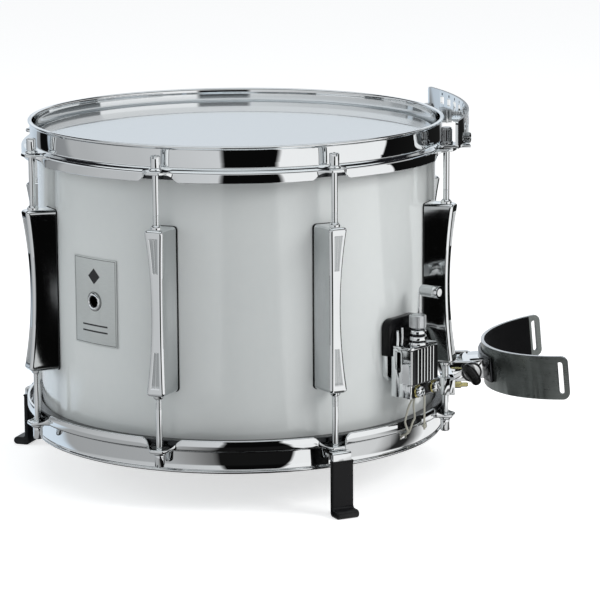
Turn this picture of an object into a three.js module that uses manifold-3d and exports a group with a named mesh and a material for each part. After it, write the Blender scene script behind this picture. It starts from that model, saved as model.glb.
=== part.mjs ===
// A marching snare drum, in millimetres, +Z up.
// The origin is the centre of the batter head's playing surface. +X points to the player's side,
// where the carrier plate and the leg rest are, midway between two lugs.

import * as THREE from 'three';
import { mergeVertices } from 'three/addons/utils/BufferGeometryUtils.js';
import Module from 'manifold-3d';

const wasm = await Module();
wasm.setup();

// Driving dimensions of the whole drum
const shellRadius = 177.5;
const shellWall = 6;
const headSpacing = 257;
const lugCount = 8;
const firstLugAngle = -157.5;
const rodStandoff = 17.5;
const fitGap = 0.3;
const ringGap = 0.4;
const cutOverrun = 3;
const roundSegments = 48;

// Heads: a film drawn over the shell's edge into a metal ring
const filmThickness = 0.8;
const collarThickness = 0.8;
const collarReach = 10.3;
const fleshRingWidth = 7.8;
const fleshRingHeight = 6.2;
const bearingEdgeHeight = 5.1;
const bearingEdgeWidth = 1.2;
const bearingBevel = 2;
const bearingRounding = 1.1;

// Hoops: rim, band, flange that presses the head, and skirt
const rimHeight = 12;
const bandClearance = 2.3;
const hoopThickness = 2.3;
const rimBead = 1.6;
const rimBeadHeight = 3;
const skirtClearance = 2.1;
const skirtHeight = 10.7;
const flangeRounding = 1;
const earMargin = 8;
const earHalfWidth = 5;
const earWingWidth = 14;
const earLip = 0.8;
const earWingShares = [1, 0.66, 0.33, 0];
const columnsBetweenEars = 3;

// Snare gates in the snare-side hoop
const strainerAngle = -41;
const buttAngle = strainerAngle + 180;
const gateHalfWidth = 18;
const gateShelf = 3.5;
const cordHoleHalfWidth = 5;
const cordHoleHeight = 8.5;

// Tension rods
const rodRadius = 2.8;
const rodHoleRadius = 3.2;
const rodHeadRadius = 4.25;
const rodHeadHeight = 12.6;
const rodWasherRadius = 5.6;
const rodWasherThickness = 1.8;
const rodEngagement = 18.7;
const rodSides = 8;
const rodSlotWidth = 1.5;
const rodSlotDepth = 2.4;

// Lugs
const rodExposure = 57.3;
const lugBaseHalfWidth = 11.5;
const lugEndHalfWidth = 8.7;
const lugWaistHalfWidth = 5.4;
const lugEndProud = 9;
const lugWaistProud = 3;
const lugEdge = 2;
const lugStationShares = [-1, -0.96, -0.7, -0.36, 0, 0.36, 0.7, 0.96, 1];
const lugEndRounding = 2.2;
const lugCollarRadius = 4.8;
const lugCollarHeight = 3.4;
const lugBoreSpare = 7.3;
const lugScrewInset = 23.2;
const lugScrewRadius = 2.4;
const lugScrewReach = 4.8;
const lugScrewHeadRadius = 6;
const lugScrewHeadHeight = 3;
const lugScrewSides = 6;

// Badge and vent
const badgeAngle = -135.8;
const badgeWidth = 51;
const badgeHeight = 76.4;
const badgeThickness = 0.6;
const badgeShift = 1;
const badgeSteps = 10;
const ventBore = 5;
const ventBarrel = 6;
const ventFlangeRadius = 7.4;
const ventFlangeThickness = 1.3;

// Strainer: a base on the shell, a box split into housing and carriage, neck, knob and lever
const baseHalfWidth = 23;
const baseDepth = 7.5;
const baseRise = 22.5;
const baseBlockHeight = 32;
const basePlateHeight = 23.5;
const basePlateDepth = 4.5;
const basePlateInset = 1.5;
const baseCorner = 8;
const boxHalfWidth = 20;
const boxHeight = 44.5;
const boxClearance = 42;
const boxCorner = 4;
const boxLid = 2.5;
const housingDepth = 7.7;
const carriageDepth = 13.5;
const carriageTravel = 6;
const slotHalfWidth = 2.1;
const slotInset = 4.5;
const slotLength = 18.4;
const slotDepth = 4;
const guideScrewRadius = 1.9;
const fluteHalfWidth = 13;
const fluteCount = 6;
const fluteDepth = 1.6;
const fluteLandShare = 0.45;
const knobOffset = 5.5;
const knobRadius = 7.3;
const knobTeeth = 18;
const knobToothDepth = 0.5;
const knobHeight = 11.6;
const neckRadii = [9.2, 7.2, 5.6, 6.6];
const neckHeights = [3, 4.6, 2, 3.9];
const knobShaftRadius = 3;
const knobShaftReach = 26;
const clampProud = 0.4;
const clampThickness = 4.7;
const clampHalfWidth = 21.5;
const clampHeight = 11.7;
const clampScrewSpacing = 24;
const clampScrewRadius = 2;
const clampScrewReach = 11;
const clampWasherRadius = 5.6;
const clampWasherThickness = 0.9;
const clampHeadRadius = 4.8;
const clampHeadHeight = 4.4;
const clampSlotWidth = 1.3;
const clampSlotDepth = 1.6;
const leverSide = 13;
const leverPivotSide = 12;
const leverPivotRise = 13.5;
const leverHubRadius = 5;
const leverHubLength = 7.3;
const leverPinRadius = 2.4;
const leverPinLength = 5;
const leverRodRadius = 1.5;
const leverLength = 31;
const leverGripRadius = 5.2;
const leverGripLength = 23.5;

// Snares, and the cords that hold them
const cordRadius = 0.9;
const cordSides = 8;
const cordSteps = 28;
const cordLegSpacing = 1.5;
const cordSpread = 7;
const cordInset = 11;
const cordSlack = 0.6;
const cordDrop = 4;
const tailInset = 2.4;
const tailSide = 2;
const tailLength = 31;
const tailSteps = 7;
const tailKnotRadius = 1.9;
const tailKnotHeight = 3.2;
const snareInset = 25.5;
const snareHalfWidth = 25;
const snarePlateWidth = 12;
const snarePlateThickness = 2;
const snareStrands = 10;
const snareStrandRadius = 0.75;
const snareDrop = 0.6;

// Butt end
const buttHalfWidth = 15;
const buttDepth = 21.9;
const buttHeight = 23;
const buttCorner = 4;
const buttClampThickness = 5;
const buttClampHeight = 14;
const buttCordInset = 3.9;

// Carrier plate and its brackets
const carrierCurve = 325;
const carrierStandoff = 11.3;
const carrierOverhang = 39.4;
const carrierRise = 8.2;
const carrierHeight = 24;
const carrierThickness = 2.2;
const carrierSteps = 24;
const windowSpacing = 18.6;
const windowCount = 10;
const windowWidth = 9;
const windowHeight = 7;
const windowDrop = 9;
const pinholeRadius = 1.3;
const pinholeOffset = 5.9;
const pinholeSides = 6;
const tabWidth = 20;
const tabThickness = 2.5;
const tabHeel = 8;
const uprightThickness = 2.4;
const uprightRise = 12.5;
const carrierBoltRise = 7.6;
const carrierBoltRadius = 2.2;
const carrierBoltHeadRadius = 4.6;
const carrierBoltHeadHeight = 4;
const nutRadius = 5.4;
const nutHeight = 14;
const nutTeeth = 14;
const nutToothDepth = 0.4;
const studProud = 0.9;

// Leg rest, its block, bracket and clamp lever
const restStandoff = 29.34;
const restTilt = 5;
const restBarOffset = 8;
const restBarThickness = 4.8;
const restBarHalfHeight = 8;
const restBarOverhang = 7.4;
const restBossHalfWidth = 6.8;
const restBossDepth = 12.6;
const restForkInner = 19;
const restForkOuter = 24.5;
const restEyeRadius = 9;
const restTongueRadius = 8.4;
const restNeckHalfHeight = 6.5;
const restPinRadius = 3.4;
const saddleBack = 10.4;
const saddleThickness = 3;
const saddleHalfWidth = 24;
const saddleHalfHeight = 11;
const saddleSteps = 8;
const restRadius = 97;
const restThickness = 3;
const restHalfAngle = 70.5;
const restTopEdge = 20.8;
const restBottomEdge = -18.5;
const restSteps = 32;
const restCorner = 6;
const restCornerSteps = 4;
const restSlotWidth = 5;
const restSlotLength = 29;
const restSlotInset = 7;
const restSlotRounding = 2.4;
const padThickness = 3.5;
const padInset = 12.5;
const padRim = 0.6;
const restHubRadius = 9;
const restHubHeight = 3.2;
const restHandleRadius = 5;
const restHandleStart = [-5, -6, 4.5];
const restHandleEnd = [1, -23, -2];
const restNutRadius = 7;
const restNutHeight = 5;
const setScrewRadius = 2;
const setScrewHeadRadius = 3;
const setScrewHeadLength = 6;
const setScrewTipLength = 6;

// Feet: a strap under a rod's ear, bent down and out, in a rubber boot
const footLugs = [2, 5, 7];
const footClearance = 3;
const footStrapThickness = 2.6;
const footStrapHalfWidth = 8.8;
const footStrapRounding = 1;
const footTabHeel = 7;
const footHeight = 55.7;
const toeLength = 15;
const bootTop = 7.6;
const bootWall = 1;
const bootHalfWidth = 10.2;
const toeThickness = 7;

// Places that follow from those sizes. Radii are from the drum's axis.
const snareLevel = -headSpacing;
const shellInner = shellRadius - shellWall;
const shellFit = shellRadius + ringGap;
const rodCircle = shellRadius + rodStandoff;
const collarInner = shellFit + fitGap;
const collarOuter = collarInner + collarThickness;
const fleshRingOuter = collarOuter + fleshRingWidth;
const bandInnerRadius = collarOuter + bandClearance;
const bandOuterRadius = bandInnerRadius + hoopThickness;
const skirtOuterRadius = fleshRingOuter + skirtClearance + hoopThickness;
const flangeDrop = collarReach - fitGap - hoopThickness;
const skirtDrop = flangeDrop + skirtHeight;
const earReach = rodCircle + earMargin - skirtOuterRadius;
const gateFloorRadius = bandOuterRadius + gateShelf;
const rodReach = rodExposure + rodEngagement;
const lugLength = headSpacing - 2 * rodExposure;
const lugScrewOffset = lugLength / 2 - lugScrewInset;
const badgeDrop = headSpacing / 2 + badgeShift;
const earSeat = -flangeDrop + fitGap;
const tabTop = earSeat + tabThickness;
const nutTop = tabTop + fitGap + nutHeight;
const baseFront = shellRadius + baseDepth;
const boxSplit = baseFront + fitGap + housingDepth;
const boxFront = boxSplit + carriageDepth;
const boxBottom = snareLevel + boxClearance;
const boxTop = boxBottom + boxHeight;
const slotTop = boxTop - slotInset;
const slotBottom = slotTop - slotLength;
const neckTop = boxTop + neckHeights.reduce((sum, height) => sum + height);
const knobAxis = boxSplit + knobOffset;
const knobBottom = neckTop + ringGap + fitGap;
const clampFront = boxFront + clampProud;
const clampBack = clampFront - clampThickness;
const clampTop = boxBottom + clampHeight;
const clampMiddle = boxBottom + clampHeight / 2;
const leverPivotZ = boxTop + leverPivotRise;
const underHead = snareLevel - snareDrop - snarePlateThickness / 2;
const snareHalfLength = shellRadius - snareInset;
const buttFront = shellRadius + buttDepth;
const buttMiddle = boxBottom + buttHeight / 2;
const carrierApex = rodCircle + carrierStandoff;
const carrierTop = rimHeight + carrierRise;
const windowLift = carrierTop - windowDrop;
const rodX = rodCircle * Math.cos(Math.PI / lugCount);
const rodY = rodCircle * Math.sin(Math.PI / lugCount);
const carrierHalfSpan = rodY + carrierOverhang;
const restBarFront = rodX + restBarOffset;
const restPivotX = rodX + restStandoff;
const restBarHalfWidth = rodY + restBarOverhang;
const restPivotZ = snareLevel + (skirtDrop + rodExposure - lugCollarHeight) / 2;
const restCentre = saddleBack + saddleThickness + fitGap + restRadius;
const footStrapInner = rodCircle + earMargin + footClearance;
const footFace = snareLevel - earSeat;

// Materials
function finish(color, roughness, metalness) {
  return new THREE.MeshStandardMaterial({ color, roughness, metalness });
}
const lacquer = finish(0xe6e8e8, 0.15, 0);
const chrome = finish(0xd5d9dd, 0.08, 1);
const film = finish(0xdde3e8, 0.35, 0);
const blackPlastic = finish(0x101012, 0.35, 0);
const rubber = finish(0x121212, 0.75, 0);
const satinGrey = finish(0x484b4a, 0.45, 0.6);
const brass = finish(0xb9a24a, 0.3, 1);
const cordFibre = finish(0xe9e7d8, 0.8, 0);
const badgeMetal = finish(0xb4b8b8, 0.35, 0.8);

// Turning between three.js geometry and solids
function asSolid(geometry) {
  const bare = geometry.clone();
  bare.deleteAttribute('normal');
  bare.deleteAttribute('uv');
  const merged = mergeVertices(bare, 1e-4);
  const positions = merged.attributes.position.array;
  const corners = merged.index.array;
  const triangles = [];
  for (let i = 0; i < corners.length; i += 3) {
    const [a, b, c] = [corners[i], corners[i + 1], corners[i + 2]];
    if (a !== b && b !== c && c !== a) triangles.push(a, b, c);
  }
  if (signedVolume(positions, triangles) < 0) triangles.reverse();
  return new wasm.Manifold(new wasm.Mesh({
    numProp: 3,
    vertProperties: new Float32Array(positions),
    triVerts: new Uint32Array(triangles),
  }));
}

function signedVolume(positions, triangles) {
  const point = (index) => new THREE.Vector3().fromArray(positions, index * 3);
  let volume = 0;
  for (let i = 0; i < triangles.length; i += 3) {
    const [a, b, c] = [point(triangles[i]), point(triangles[i + 1]), point(triangles[i + 2])];
    volume += a.dot(b.cross(c));
  }
  return volume;
}

function asGeometry(solid) {
  const mesh = solid.getMesh();
  const geometry = new THREE.BufferGeometry();
  geometry.setAttribute('position', new THREE.BufferAttribute(mesh.vertProperties, 3));
  geometry.setIndex(new THREE.BufferAttribute(mesh.triVerts, 1));
  geometry.computeVertexNormals();
  return geometry;
}

function join(...solids) {
  return solids.reduce((whole, piece) => whole.add(piece));
}

function cut(whole, ...tools) {
  return tools.reduce((rest, tool) => rest.subtract(tool), whole);
}

// Basic solids, all in millimetres and standing on the z axis unless a comment says otherwise
function box(x0, x1, y0, y1, z0, z1) {
  const geometry = new THREE.BoxGeometry(x1 - x0, y1 - y0, z1 - z0);
  geometry.translate((x0 + x1) / 2, (y0 + y1) / 2, (z0 + z1) / 2);
  return asSolid(geometry);
}

function turned(profile, segments) {
  const points = profile.map(([r, z]) => new THREE.Vector2(r, z));
  const geometry = new THREE.LatheGeometry(points, segments);
  geometry.rotateX(Math.PI / 2);
  return asSolid(geometry);
}

function rod(radius, z0, z1, sides) {
  return turned([[0, z0], [radius, z0], [radius, z1], [0, z1]], sides);
}

function moved(solid, x, y, z) {
  return solid.translate([x, y, z]);
}

// A rod whose axis runs along x or y instead of z
function rodAlongX(radius, x0, x1, y, z, sides) {
  return moved(rod(radius, x0, x1, sides).rotate([0, 90, 0]), 0, y, z);
}

function rodAlongY(radius, y0, y1, x, z, sides) {
  return moved(rod(radius, -y1, -y0, sides).rotate([90, 0, 0]), x, 0, z);
}

function polygonShape(points) {
  return new THREE.Shape(points.map(([x, y]) => new THREE.Vector2(x, y)));
}

function roundedShape(x0, x1, y0, y1, radii) {
  const [bottomLeft, bottomRight, topRight, topLeft] = radii;
  const shape = new THREE.Shape();
  shape.moveTo(x0 + bottomLeft, y0);
  shape.lineTo(x1 - bottomRight, y0);
  if (bottomRight) shape.absarc(x1 - bottomRight, y0 + bottomRight, bottomRight, -Math.PI / 2, 0);
  shape.lineTo(x1, y1 - topRight);
  if (topRight) shape.absarc(x1 - topRight, y1 - topRight, topRight, 0, Math.PI / 2);
  shape.lineTo(x0 + topLeft, y1);
  if (topLeft) shape.absarc(x0 + topLeft, y1 - topLeft, topLeft, Math.PI / 2, Math.PI);
  shape.lineTo(x0, y0 + bottomLeft);
  if (bottomLeft) shape.absarc(x0 + bottomLeft, y0 + bottomLeft, bottomLeft, Math.PI, Math.PI * 1.5);
  return shape;
}

// Extrudes a shape drawn in x and y from z0 to z1
function extruded(shape, z0, z1, curveSegments = 4) {
  const geometry = new THREE.ExtrudeGeometry(shape, {
    depth: z1 - z0, bevelEnabled: false, curveSegments,
  });
  geometry.translate(0, 0, z0);
  return asSolid(geometry);
}

// Extrudes a shape drawn in y and z from x0 to x1
function extrudedAlongX(shape, x0, x1, curveSegments = 4) {
  return extruded(shape, x0, x1, curveSegments).rotate([90, 0, 0]).rotate([0, 0, 90]);
}

// Extrudes a shape drawn in x and z across y
function extrudedAlongY(shape, y0, y1, curveSegments = 4) {
  return extruded(shape, -y1, -y0, curveSegments).rotate([90, 0, 0]);
}

function knurledShape(radius, teeth, depth) {
  const points = [];
  for (let i = 0; i < teeth * 2; i += 1) {
    const angle = (i * Math.PI) / teeth;
    const r = i % 2 ? radius - depth : radius;
    points.push([r * Math.cos(angle), r * Math.sin(angle)]);
  }
  return polygonShape(points);
}

function arcPoints(centreX, radius, halfAngle, steps) {
  const points = [];
  for (let i = 0; i <= steps; i += 1) {
    const angle = halfAngle * ((2 * i) / steps - 1);
    points.push([centreX + radius * Math.cos(angle), radius * Math.sin(angle)]);
  }
  return points;
}

// A curved band seen from above, between two radii about a centre on the x axis
function arcBand(centreX, innerRadius, outerRadius, halfAngle, steps, z0, z1) {
  const outer = arcPoints(centreX, outerRadius, halfAngle, steps);
  const inner = arcPoints(centreX, innerRadius, halfAngle, steps).reverse();
  return extruded(polygonShape([...outer, ...inner]), z0, z1);
}

function tube(path, radius, steps) {
  const section = new THREE.Shape();
  for (let i = 0; i < cordSides; i += 1) {
    const angle = (i * 2 * Math.PI) / cordSides;
    const point = [radius * Math.cos(angle), radius * Math.sin(angle)];
    if (i === 0) section.moveTo(...point);
    else section.lineTo(...point);
  }
  return asSolid(new THREE.ExtrudeGeometry(section, {
    steps, bevelEnabled: false, extrudePath: path,
  }));
}

function smoothStep(share) {
  const t = Math.min(Math.max(share, 0), 1);
  return t * t * (3 - 2 * t);
}

function radians(degrees) {
  return (degrees * Math.PI) / 180;
}

// Scene helpers: every piece is one named mesh, most of them in a group turned to its place
const drum = new THREE.Group();

function place(name, solid, material, parent = drum) {
  const mesh = new THREE.Mesh(asGeometry(solid), material);
  mesh.name = name;
  parent.add(mesh);
}

function station(angle) {
  const group = new THREE.Group();
  group.rotation.z = radians(angle);
  drum.add(group);
  return group;
}

function lugAngle(index) {
  return firstLugAngle + (index * 360) / lugCount;
}

// Heights on the snare side mirror those on the batter side
function snareSide(solid) {
  return moved(solid.mirror([0, 0, 1]), 0, 0, -headSpacing);
}

// Shell
function shellSolid() {
  const edge = filmThickness + ringGap;
  const crest = shellInner + bearingBevel;
  const top = [
    [shellInner, -edge - bearingBevel], [crest, -edge], [crest + bearingEdgeWidth, -edge],
    [shellRadius - bearingRounding, -edge - bearingEdgeHeight / 2],
    [shellRadius, -edge - bearingEdgeHeight],
  ];
  const bottom = top.map(([r, z]) => [r, -headSpacing - z]).reverse();
  const wall = turned([...top, ...bottom, top[0]], roundSegments);
  return cut(wall, ...lugScrewHoles(), ventHole());
}

function lugScrewHoles() {
  const holes = [];
  for (let i = 0; i < lugCount; i += 1) {
    for (const side of [-1, 1]) {
      const hole = rodAlongX(lugScrewRadius + fitGap, shellInner - cutOverrun,
        shellRadius + cutOverrun, 0, side * lugScrewOffset + snareLevel / 2, lugScrewSides);
      holes.push(hole.rotate([0, 0, lugAngle(i)]));
    }
  }
  return holes;
}

function ventHole() {
  const hole = rodAlongX(ventBarrel + fitGap, shellInner - cutOverrun,
    shellRadius + cutOverrun, 0, -badgeDrop, rodSides * 2);
  return hole.rotate([0, 0, badgeAngle]);
}

// A head, its playing surface at height 0
function headSolid() {
  const crest = shellInner + bearingBevel + bearingEdgeWidth;
  return turned([
    [0, 0], [crest, 0], [collarOuter - filmThickness, -collarReach / 5],
    [collarOuter, -collarReach / 2], [collarOuter, -collarReach], [fleshRingOuter, -collarReach],
    [fleshRingOuter, -collarReach - fleshRingHeight], [collarInner, -collarReach - fleshRingHeight],
    [collarInner, -collarReach / 2], [crest - fitGap, -filmThickness], [0, -filmThickness],
  ], roundSegments);
}

// How far the hoop's skirt is pressed out into an ear, 1 at a rod and 0 between rods
function earShare(arcDistance) {
  return smoothStep(1 - (Math.abs(arcDistance) - earHalfWidth) / earWingWidth);
}

function hoopSection(share) {
  const outer = skirtOuterRadius + earReach * share;
  const inner = outer - hoopThickness;
  const flangeUnder = -flangeDrop - hoopThickness;
  const skirtEnd = -skirtDrop + (skirtDrop + flangeUnder - earLip) * share;
  return [
    [bandInnerRadius, flangeUnder], [inner, flangeUnder], [inner, skirtEnd], [outer, skirtEnd],
    [outer, -flangeDrop - flangeRounding], [outer - flangeRounding, -flangeDrop],
    [bandOuterRadius, -flangeDrop], [bandOuterRadius, rimHeight - rimBeadHeight],
    [bandOuterRadius + rimBead, rimHeight - rimBeadHeight / 2],
    [bandOuterRadius + rimBead / 2, rimHeight], [bandInnerRadius, rimHeight],
  ];
}

function hoopAngles() {
  const reach = earHalfWidth + earWingWidth;
  const angles = [];
  for (let i = 0; i < lugCount; i += 1) {
    const rodAngle = radians(lugAngle(i));
    const left = earWingShares.map((share) => -earHalfWidth - share * earWingWidth);
    const right = left.map((offset) => -offset).reverse();
    for (const offset of [...left, ...right]) {
      angles.push([rodAngle + offset / skirtOuterRadius, earShare(offset)]);
    }
    const gap = (2 * Math.PI) / lugCount - (2 * reach) / skirtOuterRadius;
    for (let j = 1; j < columnsBetweenEars; j += 1) {
      const angle = rodAngle + reach / skirtOuterRadius + (gap * j) / columnsBetweenEars;
      angles.push([angle, 0]);
    }
  }
  return angles;
}

// The hoop is lofted round the drum, one section at each angle
function hoopSolid() {
  const columns = hoopAngles();
  const count = hoopSection(0).length;
  const positions = [];
  const indices = [];
  columns.forEach(([angle, share], column) => {
    for (const [r, z] of hoopSection(share)) {
      positions.push(r * Math.cos(angle), r * Math.sin(angle), z);
    }
    const next = (column + 1) % columns.length;
    for (let i = 0; i < count; i += 1) {
      const j = (i + 1) % count;
      const [a, b, c, d] = [column * count + i, column * count + j, next * count + j, next * count + i];
      indices.push(a, b, c, a, c, d);
    }
  });
  const geometry = new THREE.BufferGeometry();
  geometry.setAttribute('position', new THREE.Float32BufferAttribute(positions, 3));
  geometry.setIndex(indices);
  return cut(asSolid(geometry), ...rodHoles());
}

function rodHoles() {
  const holes = [];
  for (let i = 0; i < lugCount; i += 1) {
    const hole = moved(rod(rodHoleRadius, -skirtDrop, cutOverrun, rodSides), rodCircle, 0, 0);
    holes.push(hole.rotate([0, 0, lugAngle(i)]));
  }
  return holes;
}

// The opening in the skirt and flange, and the hole in the band, where the cords pass
function gateCutter(angle) {
  const skirtOpening = box(gateFloorRadius, skirtOuterRadius + cutOverrun,
    -gateHalfWidth, gateHalfWidth, -skirtDrop - cutOverrun, -flangeDrop + cutOverrun);
  const bandHole = box(bandInnerRadius - cutOverrun, bandOuterRadius + cutOverrun,
    -cordHoleHalfWidth, cordHoleHalfWidth, -flangeDrop + fitGap, -flangeDrop + cordHoleHeight);
  return join(skirtOpening, bandHole).rotate([0, 0, angle]);
}

function snareHoopSolid() {
  return cut(snareSide(hoopSolid()), ...[strainerAngle, buttAngle].map((angle) => (
    snareSide(gateCutter(angle)))));
}

// Lugs, in their own station: x outward, y along the shell
function lugSection(share) {
  const waist = share * share;
  const half = lugWaistHalfWidth + (lugEndHalfWidth - lugWaistHalfWidth) * waist;
  const rounding = Math.abs(share) === 1 ? lugEndRounding : 0;
  const front = rodCircle + lugWaistProud + (lugEndProud - lugWaistProud) * waist - rounding;
  const foot = lugBaseHalfWidth - rounding / 2;
  return [
    [shellFit, -foot], [front - lugEdge, -half + rounding / 2], [front, -half + lugEdge],
    [front, half - lugEdge], [front - lugEdge, half - rounding / 2], [shellFit, foot],
  ];
}

function lugBody() {
  const positions = [];
  const indices = [];
  const count = lugSection(0).length;
  lugStationShares.forEach((share, level) => {
    for (const [x, y] of lugSection(share)) {
      positions.push(x, y, (share * lugLength) / 2 + snareLevel / 2);
    }
    if (level === 0) return;
    for (let i = 0; i < count; i += 1) {
      const j = (i + 1) % count;
      const [a, b] = [(level - 1) * count + i, (level - 1) * count + j];
      indices.push(a, b, b + count, a, b + count, a + count);
    }
  });
  const top = (lugStationShares.length - 1) * count;
  for (let i = 1; i < count - 1; i += 1) {
    indices.push(0, i + 1, i, top, top + i, top + i + 1);
  }
  const geometry = new THREE.BufferGeometry();
  geometry.setAttribute('position', new THREE.Float32BufferAttribute(positions, 3));
  geometry.setIndex(indices);
  return asSolid(geometry);
}

// The mounting screw that passes the shell, with its head inside
function lugScrew(side) {
  const seat = shellInner - 2 * ringGap;
  const height = side * lugScrewOffset + snareLevel / 2;
  const shank = rodAlongX(lugScrewRadius, seat - lugScrewHeadHeight / 2, shellFit + lugScrewReach,
    0, height, lugScrewSides);
  const head = rodAlongX(lugScrewHeadRadius, seat - lugScrewHeadHeight, seat, 0, height, lugScrewSides);
  return join(shank, head);
}

// A rod between two heights of which either may be the lower
function rodBetween(radius, z0, z1) {
  return moved(rod(radius, Math.min(z0, z1), Math.max(z0, z1), rodSides), rodCircle, 0, 0);
}

function lugSolid() {
  const middle = snareLevel / 2;
  const collars = [-1, 1].map((side) => rodBetween(lugCollarRadius,
    middle + side * (lugLength / 2 - lugEdge), middle + side * (lugLength / 2 + lugCollarHeight)));
  const bores = [-1, 1].map((side) => rodBetween(rodHoleRadius,
    middle + side * (lugLength / 2 - rodEngagement - lugBoreSpare),
    middle + side * (lugLength / 2 + lugCollarHeight + cutOverrun)));
  return cut(join(lugBody(), ...collars, lugScrew(-1), lugScrew(1)), ...bores);
}

// Tension rods, on the batter side; seat is the height of the face that the washer presses
function rodSolid(seat) {
  const washerTop = seat + rodWasherThickness;
  const top = washerTop + rodHeadHeight;
  const body = turned([
    [0, -rodReach], [rodRadius, -rodReach], [rodRadius, seat], [rodWasherRadius, seat],
    [rodWasherRadius, washerTop], [rodHeadRadius, washerTop], [rodHeadRadius, top], [0, top],
  ], rodSides);
  const slot = box(-rodHeadRadius - cutOverrun, rodHeadRadius + cutOverrun,
    -rodSlotWidth / 2, rodSlotWidth / 2, top - rodSlotDepth, top + cutOverrun);
  return moved(cut(body, slot), rodCircle, 0, 0);
}

function studSolid() {
  return moved(rod(rodRadius, -rodReach, nutTop + studProud, rodSides), rodCircle, 0, 0);
}

function footSeat() {
  return earSeat + footStrapThickness + fitGap;
}

// Badge and vent
function badgeSolid() {
  const half = badgeWidth / 2 / shellRadius;
  const plate = arcBand(0, shellFit, shellFit + badgeThickness, half, badgeSteps,
    -badgeDrop - badgeHeight / 2, -badgeDrop + badgeHeight / 2);
  return cut(plate, rodAlongX(ventBarrel + fitGap, shellFit - cutOverrun, shellFit + cutOverrun,
    0, -badgeDrop, rodSides * 2));
}

function ventSolid() {
  const inside = shellInner - 2 * ringGap;
  const outside = shellFit + badgeThickness + fitGap;
  const body = join(
    rod(ventBarrel, inside - ventFlangeThickness, outside + ventFlangeThickness, rodSides * 2),
    rod(ventFlangeRadius, outside, outside + ventFlangeThickness, rodSides * 2),
    rod(ventFlangeRadius, inside - ventFlangeThickness, inside, rodSides * 2),
  );
  const bore = rod(ventBore, inside - cutOverrun, outside + cutOverrun, rodSides * 2);
  return moved(cut(body, bore).rotate([0, 90, 0]), 0, 0, -badgeDrop);
}

// Strainer, in its own station: x outward, y along the shell
function shellClearance() {
  return rod(shellFit, snareLevel, 0, roundSegments * 2);
}

function strainerBaseSolid() {
  const [top, step] = [boxTop + baseRise, boxTop + baseRise - baseBlockHeight];
  const block = extrudedAlongX(roundedShape(-baseHalfWidth, baseHalfWidth, step, top,
    [0, 0, baseCorner, baseCorner]), shellInner, baseFront);
  const plateHalf = baseHalfWidth - basePlateInset;
  const plate = extrudedAlongX(roundedShape(-plateHalf, plateHalf, step - basePlateHeight, step + fitGap,
    [baseCorner, baseCorner, 0, 0]), shellInner, shellRadius + basePlateDepth);
  const pivot = rodAlongX(leverPinRadius + fitGap, baseFront - leverPinLength - fitGap,
    baseFront + cutOverrun, leverPivotSide, leverPivotZ, rodSides);
  return cut(join(block, plate), shellClearance(), pivot);
}

function boxOutline(x0, x1) {
  return roundedShape(x0, x1, -boxHalfWidth, boxHalfWidth, [0, boxCorner, boxCorner, 0]);
}

function sideSlots(depth) {
  const [x0, x1] = [boxSplit - slotHalfWidth, boxSplit + slotHalfWidth];
  const [z0, z1] = [slotBottom, slotTop];
  return [-1, 1].map((side) => {
    const [y0, y1] = [side * (boxHalfWidth - depth), side * (boxHalfWidth + cutOverrun)];
    return box(x0, x1, Math.min(y0, y1), Math.max(y0, y1), z0, z1);
  });
}

function neckSolid() {
  let z = boxTop;
  const profile = [[0, z - boxLid / 2], [neckRadii[0], z - boxLid / 2]];
  neckRadii.forEach((radius, index) => {
    if (index) profile.push([radius, z]);
    z += neckHeights[index];
    profile.push([radius, z]);
  });
  profile.push([0, z]);
  return moved(turned(profile, rodSides * 2), knobAxis, 0, 0);
}

function housingSolid() {
  const back = baseFront + fitGap;
  const rear = box(back, boxSplit, -boxHalfWidth, boxHalfWidth, boxBottom, boxTop);
  const lid = extruded(boxOutline(back, boxFront), boxTop - boxLid, boxTop);
  const slots = sideSlots(slotDepth);
  const screws = [-1, 1].map((side) => {
    const [y0, y1] = [side * (boxHalfWidth - slotDepth - fitGap), side * (boxHalfWidth - fitGap)];
    return rodAlongY(guideScrewRadius, Math.min(y0, y1), Math.max(y0, y1),
      boxSplit - guideScrewRadius / 2, slotBottom + slotHalfWidth + fitGap, rodSides);
  });
  const whole = join(cut(rear, ...slots), ...screws, lid, neckSolid());
  const bore = moved(rod(knobShaftRadius + fitGap, boxTop - boxLid - cutOverrun, knobBottom, rodSides),
    knobAxis, 0, 0);
  return cut(whole, bore);
}

function fluteOutline(back) {
  const pitch = (2 * fluteHalfWidth) / fluteCount;
  const land = pitch * fluteLandShare;
  const flutes = [];
  for (let i = 0; i < fluteCount; i += 1) {
    const y = -fluteHalfWidth + i * pitch;
    flutes.push([boxFront, y], [boxFront - fluteDepth, y + (pitch - land) / 2],
      [boxFront, y + pitch - land]);
  }
  return polygonShape([
    [back, boxHalfWidth], [back, -boxHalfWidth], [boxFront - boxCorner, -boxHalfWidth],
    [boxFront - boxCorner / 4, -boxHalfWidth + boxCorner / 4], [boxFront, -boxHalfWidth + boxCorner],
    ...flutes, [boxFront, boxHalfWidth - boxCorner],
    [boxFront - boxCorner / 4, boxHalfWidth - boxCorner / 4], [boxFront - boxCorner, boxHalfWidth],
  ]);
}

function clampScrewPlaces() {
  return [-clampScrewSpacing / 2, clampScrewSpacing / 2];
}

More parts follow.
